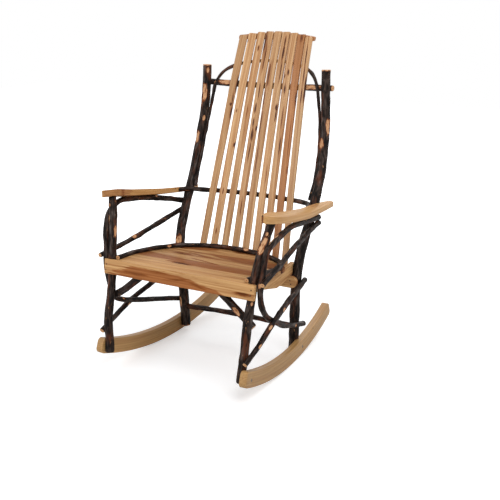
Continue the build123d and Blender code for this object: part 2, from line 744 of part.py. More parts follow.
# ---------------------------------------------------------------- finished posts
def finished_front_post(side):
    """A front post: flat where the rocker, apron and arm meet it, and drilled for its screw."""
    post = pole(front_line[side], front_post_butt, front_post_tip)
    return post - rocker_room[side] - apron_room - arm_room[side] - screw_holes[side][0]


def finished_rear_post(side):
    """A rear post: flat where the rocker meets it, bored for the stretcher and its screw."""
    post = pole(rear_line[side], rear_post_butt, rear_post_tip, end_bevel)
    socket = room_for(stretcher_line(fit_gap), stretcher_diameter, stretcher_diameter)
    return post - rocker_room[side] - socket - screw_holes[side][1]


# ---------------------------------------------------------------- the pieces
pieces = {}
for side, name in ((LEFT, "left"), (RIGHT, "right")):
    pieces["rocker_" + name] = rocker(side)
    pieces["front_post_" + name] = finished_front_post(side)
    pieces["rear_post_" + name] = finished_rear_post(side)
    pieces["arm_" + name] = other_side(side, arm_blank(side)) - rear_room[side]
    hoop = side_stick(side, hoop_places, hoop_butt, hoop_tip)
    pieces["side_hoop_" + name] = hoop - apron_room - arm_room[side]
    hoop_room = room_for(side_line(side, hoop_places, hoop_butt), hoop_butt, hoop_tip)
    upper = side_stick(side, upper_brace_places, brace_butt, brace_tip)
    pieces["upper_side_brace_" + name] = upper - hoop_room
    lower = side_stick(side, lower_brace_places, brace_butt, brace_tip)
    pieces["lower_side_brace_" + name] = lower - hoop_room
    pieces["front_corner_brace_" + name] = corner_brace(side)
    pieces["seat_side_rail_" + name] = side_rail(side)

pieces["rocker_screws"] = Compound(screws)
pieces["rear_stretcher"] = pole(stretcher_line(), stretcher_diameter, stretcher_diameter)
pieces["seat_front_apron"] = apron()
for count, board in enumerate(seat_boards(), 1):
    pieces["seat_board_" + str(count)] = board
pieces["seat_hoop"] = seat_hoop()
pieces["seat_rear_rail"] = rear_rail_blank() - rear_room[LEFT] - rear_room[RIGHT]

strip = slat_blank()
for count in range(slat_count):
    pieces["back_slat_" + str(count + 1)] = slat(count - (slat_count - 1) / 2, strip)
pieces["crest_rail"] = crest_rail()
pieces["back_bottom_rail"] = bottom_rail()
top_rail = pole(top_rail_line(), top_rail_butt, top_rail_tip, end_bevel)
pieces["back_top_rail"] = top_rail - rear_room[LEFT] - rear_room[RIGHT]
pieces["back_middle_rail"] = middle_rail()
pieces["back_arch"] = back_arch() - room_for(top_rail_line(), top_rail_butt, top_rail_tip)

# ---------------------------------------------------------------- set on the origin and write
box = Compound(list(pieces.values())).bounding_box()
to_origin = Pos(-(box.min.X + box.max.X) / 2, -(box.min.Y + box.max.Y) / 2, -box.min.Z)
os.makedirs("parts", exist_ok=True)
for name, piece in pieces.items():
    export_step(to_origin * piece, "parts/" + name + ".step")
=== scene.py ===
"""Surfaces and finishes of a hickory rocking chair: bark sticks, bent slats, sawn boards and nails.

Metres, +Z up. The sitter looks along -Y, and left and right are as seen from the front, so left is
-X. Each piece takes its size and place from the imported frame, and then gets what a maker's hand and
the tree give it: bark, knots, shaved patches, worn edges, grain and varnish.
"""

import logging
import math
from dataclasses import dataclass, field
from enum import Enum

import bmesh
import bpy
import numpy as np
from mathutils import Matrix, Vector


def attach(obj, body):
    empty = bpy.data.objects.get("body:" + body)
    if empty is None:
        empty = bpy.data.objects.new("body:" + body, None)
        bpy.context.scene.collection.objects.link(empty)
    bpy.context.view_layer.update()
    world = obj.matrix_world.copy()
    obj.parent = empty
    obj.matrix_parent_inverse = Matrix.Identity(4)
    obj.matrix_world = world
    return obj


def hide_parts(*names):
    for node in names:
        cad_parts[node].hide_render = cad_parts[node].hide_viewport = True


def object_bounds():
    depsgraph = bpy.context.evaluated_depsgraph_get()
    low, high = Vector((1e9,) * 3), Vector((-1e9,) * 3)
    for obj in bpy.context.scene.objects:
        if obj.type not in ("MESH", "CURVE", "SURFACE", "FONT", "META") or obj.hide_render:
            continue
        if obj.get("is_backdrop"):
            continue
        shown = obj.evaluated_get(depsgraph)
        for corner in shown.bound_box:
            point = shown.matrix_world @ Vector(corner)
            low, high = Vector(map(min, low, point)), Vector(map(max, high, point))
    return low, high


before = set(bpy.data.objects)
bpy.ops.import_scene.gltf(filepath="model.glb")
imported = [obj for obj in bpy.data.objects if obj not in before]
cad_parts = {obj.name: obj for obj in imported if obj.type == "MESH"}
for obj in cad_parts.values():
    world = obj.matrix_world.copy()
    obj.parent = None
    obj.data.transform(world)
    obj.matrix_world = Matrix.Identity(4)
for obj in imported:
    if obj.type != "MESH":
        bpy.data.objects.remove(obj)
BOX_LOW, BOX_HIGH = (np.array(corner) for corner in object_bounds())

log = logging.getLogger("rocking_chair")
Colour = tuple[float, float, float, float]
Pixel = tuple[float, float]
WHITE: Colour = (1.0, 1.0, 1.0, 1.0)
BLACK: Colour = (0.0, 0.0, 0.0, 1.0)
MM = 0.001
BODY = "root"
FRAME_PX = 500.0            # width and height of the picture frame that pixels are given in
GRAIN = "grain"             # attribute with a place's coordinates along, across and through the wood
PEEL = "peel"               # attribute above 0 where the bark is shaved off
TILTED = np.array([0.3, 0.5, 0.81])         # along no stick, so cross axes can start from it
FLAT_ANGLE, ARRIS_ANGLE, CREASE_ANGLE = (math.radians(degrees) for degrees in (0.5, 28.0, 40.0))


# ---------------------------------------------------------------- shader expressions
class Value:
    """A shader output that takes part in Python expressions; each operator adds its Math node."""

    def __init__(self, shader: "Shader", socket: bpy.types.NodeSocket) -> None:
        """Wraps one output socket of a shader's node tree."""
        self.shader = shader
        self.socket = socket

    def math(self, operation: str, *operands: "Value | float") -> "Value":
        """Adds one Math node.

        Args:
            operation: The node's operation, such as ADD.
            operands: Its inputs in order, as values or numbers.

        Returns:
            The node's result.
        """
        return self.shader.node("ShaderNodeMath", {"operation": operation}, dict(enumerate(operands)))

    def __add__(self, other: "Value | float") -> "Value":
        """Sum."""
        return self.math("ADD", self, other)

    def __sub__(self, other: "Value | float") -> "Value":
        """Difference."""
        return self.math("SUBTRACT", self, other)

    def __rsub__(self, other: float) -> "Value":
        """Difference from a number."""
        return self.math("SUBTRACT", other, self)

    def __mul__(self, other: "Value | float") -> "Value":
        """Product."""
        return self.math("MULTIPLY", self, other)

    __radd__ = __add__
    __rmul__ = __mul__

    def larger(self, other: "Value | float") -> "Value":
        """The larger of two values."""
        return self.math("MAXIMUM", self, other)

    def sine(self) -> "Value":
        """Sine of the value, in radians."""
        return self.math("SINE", self)

    def step(self, low: float, high: float) -> "Value":
        """Rises smoothly from 0 at low to 1 at high.

        Args:
            low: Where the result is 0.
            high: Where the result is 1; it may be less than low.

        Returns:
            The smooth step.
        """
        settings = {"interpolation_type": "SMOOTHSTEP"}
        inputs = {"Value": self, "From Min": low, "From Max": high}
        return self.shader.node("ShaderNodeMapRange", settings, inputs)


class Shader:
    """The node tree of a material or of the world, and the methods that add nodes to it."""

    def __init__(self, owner: bpy.types.Material | bpy.types.World) -> None:
        """Empties the node tree of its owner.

        Args:
            owner: The material or the world.
        """
        self.owner = owner
        self.owner.use_nodes = True
        self.tree = self.owner.node_tree
        self.tree.nodes.clear()

    def node(self, kind: str, settings: dict | None = None, inputs: dict | None = None,
             output: int | str | None = 0) -> Value | None:
        """Adds a node.

        Args:
            kind: The node's type.
            settings: What is set on the node first; stops holds a ramp's positions and colours.
            inputs: Value or number for each named or numbered input.
            output: The output that is handed back; None for a node that has none.

        Returns:
            That output.
        """
        made = self.tree.nodes.new(kind)
        for name, setting in (settings or {}).items():
            if name == "stops":
                self.set_stops(made.color_ramp, setting)
            else:
                setattr(made, name, setting)
        for name, value in (inputs or {}).items():
            if isinstance(value, Value):
                self.tree.links.new(value.socket, made.inputs[name])
            else:
                made.inputs[name].default_value = value
        return None if output is None else Value(self, made.outputs[output])

    @staticmethod
    def set_stops(ramp: bpy.types.ColorRamp, stops: list[tuple[float, Colour]]) -> None:
        """Gives a ramp its stops, in order."""
        while len(ramp.elements) < len(stops):
            ramp.elements.new(1.0)
        for element, (position, colour) in zip(ramp.elements, stops):
            element.position = position
            element.color = colour

    def attribute(self, name: str, output: str = "Vector") -> Value:
        """Reads one of the mesh's attributes."""
        return self.node("ShaderNodeAttribute", {"attribute_name": name}, output=output)

    def reach(self, vector: Value) -> Value:
        """Length of a vector."""
        return self.node("ShaderNodeVectorMath", {"operation": "LENGTH"}, {0: vector}, "Value")

    def beside(self, vector: Value) -> Value:
        """Distance of a place from the first axis: the length of its vector without its first part."""
        rest = {0: vector, 1: (0.0, 1.0, 1.0)}
        return self.reach(self.node("ShaderNodeVectorMath", {"operation": "MULTIPLY"}, rest))

    def noise(self, vector: Value, scale: tuple[float, float, float], detail: float = 2.0,
              offset: float = 0.0, distortion: float = 0.0) -> Value:
        """Noise from 0 to 1 whose scale differs along each axis of its vector.

        Args:
            vector: Where the noise is read.
            scale: Cells per metre along each axis.
            detail: Octaves of finer noise.
            offset: Shifts the pattern, so that each piece has its own.
            distortion: How much the pattern is bent by itself.

        Returns:
            The noise.
        """
        inputs = {"Vector": vector, "Scale": scale, "Location": (offset, 0.7 * offset, 1.3 * offset)}
        stretched = self.node("ShaderNodeMapping", None, inputs)
        settings = {"noise_dimensions": "3D"}
        return self.node("ShaderNodeTexNoise", settings,
                         {"Vector": stretched, "Scale": 1.0, "Detail": detail, "Distortion": distortion})

    def blend(self, share: Value | float, first: Value | Colour, second: Value | Colour,
              mode: str = "MIX") -> Value:
        """Mixes two colours.

        Args:
            share: 0 gives the first colour, and 1 the second.
            first: Colour at 0.
            second: Colour at 1.
            mode: The way they are mixed.

        Returns:
            The mixed colour.
        """
        settings = {"data_type": "RGBA", "blend_type": mode}
        return self.node("ShaderNodeMix", settings, {0: share, 6: first, 7: second}, 2)

    def finish(self, colour: Value, roughness: Value, height: Value, depth: float, coat: Value | float,
               coat_roughness: float, metallic: float = 0.0, shine: float = 0.5) -> bpy.types.Material:
        """Closes the tree with a varnished surface.

        Args:
            colour: Base colour.
            roughness: Roughness of what lies under the varnish.
            height: Relief from 0 to 1.
            depth: Height of that relief in metres.
            coat: Weight of the varnish.
            coat_roughness: Roughness of the varnish.
            metallic: 1 for bare metal.
            shine: Strength of the reflection of what lies under the varnish.

        Returns:
            The material.
        """
        bump = self.node("ShaderNodeBump", None, {"Height": height, "Distance": depth, "Strength": 1.0})
        inputs = {"Base Color": colour, "Roughness": roughness, "Normal": bump, "Metallic": metallic,
                  "Coat Weight": coat, "Coat Roughness": coat_roughness, "Specular IOR Level": shine}
        self.show(self.node("ShaderNodeBsdfPrincipled", None, inputs), "ShaderNodeOutputMaterial")
        return self.owner

    def show(self, surface: Value, output: str) -> None:
        """Joins a surface to the output node of the material or of the world."""
        self.node(output, None, {"Surface": surface}, None)


def paint(red: float, green: float, blue: float) -> Colour:
    """Turns a colour written as it looks into the shader's linear numbers.

    Args:
        red: Red from 0 to 255.
        green: Green from 0 to 255.
        blue: Blue from 0 to 255.

    Returns:
        The linear colour, fully opaque.
    """
    shown = np.array([red, green, blue]) / 255.0
    linear = np.where(shown <= 0.04045, shown / 12.92, ((shown + 0.055) / 1.055) ** 2.4)
    return (*linear.tolist(), 1.0)


# ---------------------------------------------------------------- finishes
@dataclass(frozen=True)
class Fray:
    """How ragged the edge of a mark in the wood is.

    Attributes:
        scale: Cells of its noise for each metre along, across and through the wood.
        spread: How far the noise moves the edge, against the mark's size.
        outer: Where the mark starts to show; its plain edge is 1 from its middle.
        inner: Where it shows fully.
    """

    scale: tuple[float, float, float]
    spread: float
    outer: float
    inner: float


class Tone(Enum):
    """What a mark in the wood is: brown heartwood, or a dark mineral streak or knot."""

    HEART = Fray((9.0, 120.0, 120.0), 1.3, 1.05, 0.85)
    STREAK = Fray((17.0, 560.0, 560.0), 2.4, 1.2, 0.3)


@dataclass(frozen=True)
class Mark:
    """One streak, knot or patch of heartwood in a board.

    Attributes:
        pixel: Where its middle shows in the picture frame.
        length: Half its length along the grain, in metres.
        width: Half its width across the grain, in metres.
        strength: How strongly it shows, from 0 to 1.
        tone: What it is.
        slant: Angle between it and the grain, in radians.
    """

    pixel: Pixel
    length: float
    width: float
    strength: float = 0.9
    tone: Tone = Tone.STREAK
    slant: float = 0.0


@dataclass(frozen=True)
class Cut:
    """How one board was sawn out of its log.

    Attributes:
        pith: Place of the log's centre across and through the board, from its middle, in metres.
        tilt: Slope of the log's centre against the board, which draws arches in the grain.
        heart: Radius of the brown heartwood in metres.
        seed: Shifts every pattern, so that no two boards match.
        shade: Brightness of the board against its timber.
        streak: How strongly dark mineral streaks show.
        figure: How strongly brown bands show in the pale wood.
    """

    pith: tuple[float, float] = (0.03, -0.05)
    tilt: float = 0.02
    heart: float = 0.02
    seed: float = 0.0
    shade: float = 1.0
    streak: float = 0.5
    figure: float = 0.4


@dataclass(frozen=True)
class Plank:
    """The wood of one board, as its material reads it.

    Attributes:
        shader: The material being made.
        place: Coordinates along, across and through the wood, in metres.
        cut: How the board lies in its log.
        marks: Marks with their middles in those coordinates.
    """

    shader: Shader
    place: Value
    cut: Cut
    marks: list[tuple[Mark, np.ndarray]]

    def noise(self, scale: tuple[float, float, float], detail: float, shift: float,
              distortion: float = 0.0) -> Value:
        """Noise in the wood, moved by the board's own seed."""
        return self.shader.noise(self.place, scale, detail, self.cut.seed + shift, distortion)

    def marked(self, tone: Tone) -> Value | float:
        """How far each place lies inside the marks of one tone.

        Each mark is an ellipse with a ragged edge: its own frame is the wood's frame moved to its
        middle, turned by its slant and divided by its half sizes, so its edge is 1 from its middle.

        Args:
            tone: Which marks are read.

        Returns:
            0 outside every mark, and up to its strength inside one.
        """
        fray = tone.value
        ragged = self.shader.noise(self.place, fray.scale, 4.0, 5.0, 0.3)
        total = 0.0
        for mark, middle in self.marks:
            if mark.tone is tone:
                placing = {"Vector": self.place, "Location": (middle[0], middle[1], 0.0),
                           "Rotation": (0.0, 0.0, mark.slant), "Scale": (mark.length, mark.width, 1.0)}
                own = self.shader.node("ShaderNodeMapping", {"vector_type": "TEXTURE"}, placing)
                edge = self.shader.reach(own) + (ragged - 0.5) * fray.spread
                inside = edge.step(fray.outer, fray.inner) * mark.strength
                total = inside.larger(total)
        return total

    def from_pith(self) -> Value:
        """Distance from the log's centre in metres, bent by noise.

        Returns:
            The distance.
        """
        wander = self.noise((2.4, 18.0, 18.0), 3.0, 0.0)
        placing = {"Vector": self.place, "Location": (0.0, -self.cut.pith[0], -self.cut.pith[1]),
                   "Rotation": (0.0, self.cut.tilt, 0.6 * self.cut.tilt)}
        placed = self.shader.node("ShaderNodeMapping", None, placing)
        return self.shader.beside(placed) + (wander - 0.5) * 0.024

    def heartwood(self, distance: Value) -> Value:
        """How much of the wood is brown: the log's heart, the marks and a few loose bands.

        Args:
            distance: Distance from the log's centre.

        Returns:
            0 in sapwood, and 1 in heartwood.
        """
        cloud = self.noise((3.5, 26.0, 26.0), 2.0, 7.0)
        heart = (distance + (cloud - 0.5) * 0.03).step(self.cut.heart + 0.004, self.cut.heart - 0.002)
        band = self.noise((2.2, 70.0, 70.0), 3.0, 6.0, 0.4).step(0.5, 0.68) * self.cut.figure
        return heart.larger(self.marked(Tone.HEART)).larger(band)

    def darkness(self) -> Value:
        """How dark the wood is stained: mineral veins, flecks and marks.

        Returns:
            0 in clean wood, and 1 in the core of a streak.
        """
        vein = self.noise((3.0, 190.0, 190.0), 4.0, 11.0, 0.4).step(0.64, 0.76)
        flecks = self.noise((22.0, 520.0, 520.0), 1.0, 13.0).step(0.7, 0.78)
        dark = vein * (0.7 * self.cut.streak) + flecks * 0.3
        return dark.larger(self.marked(Tone.STREAK))


@dataclass(frozen=True)
class Timber:
    """Sawn hickory under clear varnish: pale sapwood, brown heartwood, growth rings and pores.

    Attributes:
        sap: Sapwood grown in spring.
        sap_late: Sapwood grown in summer.
        heart_early: Heartwood grown in spring.
        heart_late: Heartwood grown in summer.
        stain: Brown halo of a dark streak.
        streak: Core of a dark streak.
        ring: Width of a growth ring in metres.
        pores: Depth of the pores in metres.
        coat: Weight of the varnish.
        coat_roughness: Roughness of the varnish.
        shine: Strength of the reflection of the wood under it.
    """

    sap: Colour = paint(224, 183, 136)
    sap_late: Colour = paint(170, 116, 70)
    heart_early: Colour = paint(186, 130, 84)
    heart_late: Colour = paint(150, 94, 52)
    stain: Colour = paint(142, 82, 40)
    streak: Colour = paint(74, 36, 16)
    ring: float = 0.008
    pores: float = 0.00012
    coat: float = 0.1
    coat_roughness: float = 0.2
    shine: float = 0.22

    def material(self, name: str, cut: Cut, marks: list[tuple[Mark, np.ndarray]]) -> bpy.types.Material:
        """Wood read in the board's own grain coordinates: along, across and through, in metres.

        The sine of the distance from the log's centre gives the rings. Late wood is a mix of rings,
        fibres and strands.

        Args:
            name: The material's name.
            cut: How the board lies in its log.
            marks: Marks with their middles in grain coordinates.

        Returns:
            The material.
        """
        shader = Shader(bpy.data.materials.new(name))
        plank = Plank(shader, shader.attribute(GRAIN), cut, marks)
        distance = plank.from_pith()
        ring = (distance * (2.0 * math.pi / self.ring)).sine() * 0.5 + 0.5
        fibre = plank.noise((9.0, 950.0, 950.0), 2.0, 3.0)
        strand = plank.noise((2.8, 150.0, 150.0), 3.0, 5.0)
        late = ring * 0.28 + fibre.step(0.2, 0.8) * 0.2 + strand.step(0.32, 0.68) * 0.52
        in_heart = plank.heartwood(distance)
        sap = shader.blend(late, self.sap, self.sap_late)
        heart = shader.blend(late, self.heart_early, self.heart_late)
        colour = shader.blend(in_heart, sap, heart)
        dark = plank.darkness()
        colour = shader.blend(dark.step(0.0, 0.5), colour, self.stain)
        colour = shader.blend(dark.step(0.35, 1.0), colour, self.streak)
        tone = plank.noise((2.0, 14.0, 14.0), 1.0, 17.0).step(0.2, 0.8)
        shades = [(end, (*[share * cut.shade] * 3, 1.0)) for end, share in ((0.0, 0.84), (1.0, 1.05))]
        shading = shader.node("ShaderNodeValToRGB", {"stops": shades}, {"Fac": tone})
        colour = shader.blend(1.0, colour, shading, "MULTIPLY")
        roughness = fibre * 0.16 + (in_heart * 0.05 + 0.34)
        relief = fibre * 0.6 + ring * 0.4
        return shader.finish(colour, roughness, relief, self.pores, self.coat, self.coat_roughness,
                             shine=self.shine)


@dataclass(frozen=True)
class Bark:
    """Varnished hickory bark, the pale wood of shaved patches and the red rim of inner bark.

    Attributes:
        crest: Top of the bark's plates.
        furrow: Bottom of its furrows: partly the bark's own dark colour, partly painted shade in the
            furrows.
        warm: Blotches where the sun has browned it.
        scuff: Spots where it is rubbed through.
        wood: Bare wood of a shaved patch.
        wood_late: Darker fibres of that wood.
        rim: Inner bark round a shaved patch.
        depth: Depth of the furrows that the material shows, in metres.
        polish: Weight of the varnish on the plates.
        shine: Strength of the reflection of the bark itself.
    """

    crest: Colour = paint(68, 54, 47)
    # partly painted shade: the near-black of the furrows stands in part for the shade that falls in them
    furrow: Colour = paint(12, 8, 7)
    warm: Colour = paint(96, 52, 30)
    scuff: Colour = paint(176, 128, 88)
    wood: Colour = paint(221, 176, 134)
    wood_late: Colour = paint(188, 132, 88)
    rim: Colour = paint(122, 66, 34)
    depth: float = 0.0012
    polish: float = 0.4
    shine: float = 0.1

    def material(self, name: str, seed: float) -> bpy.types.Material:
        """Bark read along and round the stick; the peel attribute says where it is shaved off.

        Args:
            name: The material's name.
            seed: Shifts the patterns, so that each stick has its own.

        Returns:
            The material.
        """
        shader = Shader(bpy.data.materials.new(name))
        skin = shader.attribute(GRAIN)
        ragged = shader.noise(skin, (48.0, 115.0, 115.0), 4.0, seed)
        bared = shader.attribute(PEEL, "Fac") + (ragged - 0.5) * 1.3
        shaved = bared.step(0.02, 0.14)
        rim = bared.step(-0.22, 0.0)
        ridges = shader.noise(skin, (38.0, 300.0, 300.0), 4.0, seed + 5.0, 0.5)
        plates = shader.noise(skin, (26.0, 105.0, 105.0), 4.0, seed + 6.0, 0.6)
        blotch = shader.noise(skin, (13.0, 55.0, 55.0), 3.0, seed + 9.0)
        spots = shader.noise(skin, (48.0, 130.0, 130.0), 3.0, seed + 12.0)
        lightness = ridges * 0.35 + plates * 0.65
        # the colour follows the relief, so the furrows are darker: partly the bark's own colour, partly
        # painted shade in them
        bark = shader.blend(lightness.step(0.4, 0.66), self.furrow, self.crest)
        bark = shader.blend(blotch.step(0.52, 0.7) * 0.7, bark, self.warm)
        bark = shader.blend(spots.step(0.66, 0.76) * 0.75, bark, self.scuff)
        fibre = shader.noise(skin, (12.0, 900.0, 900.0), 2.0, seed + 13.0)
        wood = shader.blend(fibre.step(0.3, 0.75), self.wood, self.wood_late)
        stain = shader.noise(skin, (55.0, 140.0, 140.0), 2.0, seed + 15.0)
        wood = shader.blend(stain.step(0.5, 0.68) * 0.8, wood, self.rim)
        colour = shader.blend(rim, bark, self.rim)
        colour = shader.blend(shaved, colour, wood)
        roughness = ridges * 0.3 + 0.35
        height = lightness * (1.0 - shaved) + fibre * 0.05
        polish = plates.step(0.52, 0.68) * self.polish
        return shader.finish(colour, roughness, height, self.depth, polish, 0.22, shine=self.shine)


@dataclass(frozen=True)
class SawnEnd:
    """The sawn end of a stick: growth rings, a dark pith and fine saw marks.

    Attributes:
        early: Wood grown in spring.
        late: Wood grown in summer.
        pith: The stick's centre.
        ring: Width of a growth ring in metres.
    """

    early: Colour = paint(214, 166, 116)
    late: Colour = paint(176, 118, 72)
    pith: Colour = paint(120, 74, 44)
    ring: float = 0.0021

    def material(self) -> bpy.types.Material:
        """Rings round the stick's centre: a sine of the distance from it, bent by noise.

        Returns:
            The material.
        """
        shader = Shader(bpy.data.materials.new("sawn_end"))
        place = shader.attribute(GRAIN)
        radius = shader.beside(place)
        wobble = shader.noise(place, (60.0, 60.0, 60.0), 2.0, 1.0)
        bent = radius + (wobble - 0.5) * 0.003
        ring = (bent * (2.0 * math.pi / self.ring)).sine() * 0.5 + 0.5
        colour = shader.blend(ring * 0.7, self.early, self.late)
        colour = shader.blend(radius.step(0.003, 0.0008), colour, self.pith)
        marks = shader.noise(place, (10.0, 60.0, 1400.0), 1.0, 4.0)
        return shader.finish(colour, ring * 0.1 + 0.45, marks, 0.0001, 0.2, 0.25, shine=0.3)


@dataclass(frozen=True)
class Metal:
    """Dull dark steel of a nail or a screw.

    Attributes:
        clean: Bare metal.
        stained: Metal under varnish and dirt.
        metallic: How much of it shows as bare metal.
    """

    clean: Colour
    stained: Colour
    metallic: float

    def material(self, name: str) -> bpy.types.Material:
        """Metal stained by varnish and handling, read in object coordinates.

        Args:
            name: The material's name.

        Returns:
            The material.
        """
        shader = Shader(bpy.data.materials.new(name))
        place = shader.node("ShaderNodeTexCoord", output="Object")
        stain = shader.noise(place, (420.0, 420.0, 420.0), 3.0, 2.0)
        colour = shader.blend(stain.step(0.35, 0.7), self.clean, self.stained)
        return shader.finish(colour, stain * 0.25 + 0.3, stain, 0.00008, 0.15, 0.3, self.metallic)


# ---------------------------------------------------------------- meshes as arrays
@dataclass
class Surface:
    """A mesh as arrays, with the attributes that its material reads.

    Attributes:
        points: Corner places, N x 3.
        faces: Corner numbers of each face.
        grain: Coordinates in the wood, N x 3.
        peel: Where the bark is shaved off, N.
        sawn: True on the faces of a sawn end.
    """

    points: np.ndarray
    faces: list[list[int]]
    grain: np.ndarray
    peel: np.ndarray
    sawn: np.ndarray

    def piece(self, name: str, slot: str, materials: list[bpy.types.Material],
              *nodes: str) -> bpy.types.Object:
        """Makes the mesh a piece that stands for CAD nodes.

        Args:
            name: The piece's name.
            slot: The record's material slot.
            materials: The side's material, and the sawn end's where there is one.
            nodes: The CAD nodes that the piece replaces.

        Returns:
            The piece.
        """
        mesh = bpy.data.meshes.new(name)
        mesh.from_pydata(self.points.tolist(), [], self.faces)
        mesh.attributes.new(GRAIN, "FLOAT_VECTOR", "POINT").data.foreach_set("vector", self.grain.ravel())
        mesh.attributes.new(PEEL, "FLOAT", "POINT").data.foreach_set("value", self.peel)
        for material in materials:
            mesh.materials.append(material)
        mesh.polygons.foreach_set("material_index", self.sawn.astype(np.int32))
        mesh.polygons.foreach_set("use_smooth", ~self.sawn)
        mesh.update()
        return settle(bpy.data.objects.new(name, mesh), slot, *nodes)


def settle(piece: bpy.types.Object, slot: str, *nodes: str) -> bpy.types.Object:
    """Links a piece, lets it ride on the chair and stand for CAD nodes.

    Args:
        piece: The finished object.
        slot: The record's material slot; not used.
        nodes: The CAD nodes that it replaces.

    Returns:
        The piece.
    """
    bpy.context.scene.collection.objects.link(piece)
    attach(piece, BODY)
    if nodes:
        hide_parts(*nodes)
    log.info("%s: %d faces", piece.name, len(piece.data.polygons))
    return piece


def tube_faces(rows: int, columns: int) -> np.ndarray:
    """Quads of a closed tube whose points run row by row, facing outwards.

    Args:
        rows: Rings along the tube.
        columns: Points round each ring.

    Returns:
        Corner numbers, (rows - 1) * columns x 4.
    """
    row, column = np.meshgrid(np.arange(rows - 1), np.arange(columns), indexing="ij")
    following = (column + 1) % columns
    corners = [row * columns + column, row * columns + following,
               (row + 1) * columns + following, (row + 1) * columns + column]
    return np.stack(corners, -1).reshape(-1, 4)


def unit(vectors: np.ndarray) -> np.ndarray:
    """Vectors scaled to length 1."""
    return vectors / np.linalg.norm(vectors, axis=-1, keepdims=True)


def turned(right: np.ndarray, up: np.ndarray, back: np.ndarray, place: np.ndarray) -> Matrix:
    """Matrix of a camera or a lamp: its own axes as columns, and then its place.

    Args:
        right: Where its first axis points.
        up: Where its second axis points.
        back: Where its third axis points, away from what it looks at.
        place: Where it stands.

    Returns:
        The matrix.
    """
    matrix = Matrix.Identity(4)
    for row, values in enumerate(np.stack([right, up, back, place], 1).tolist()):
        matrix[row][:4] = values
    return matrix


def rounded(values: np.ndarray, low: float, high: float) -> np.ndarray:
    """Smooth step from 0 at low to 1 at high, worked out for a whole array."""
    share = np.clip((values - low) / (high - low), 0.0, 1.0)
    return share * share * (3.0 - 2.0 * share)


def node_mesh(node: str) -> tuple[np.ndarray, np.ndarray]:
    """Corner places and triangles of a CAD node.

    Args:
        node: The node's name.

    Returns:
        Places, N x 3, and corner numbers, M x 3, with corners at one place made one.
    """
    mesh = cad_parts[node].data
    places = np.zeros(3 * len(mesh.vertices))
    mesh.vertices.foreach_get("co", places)
    mesh.calc_loop_triangles()
    triangles = np.zeros(3 * len(mesh.loop_triangles), np.int32)
    mesh.loop_triangles.foreach_get("vertices", triangles)
    merged, numbers = np.unique(places.reshape(-1, 3).round(6), axis=0, return_inverse=True)
    return merged, numbers.ravel()[triangles].reshape(-1, 3)


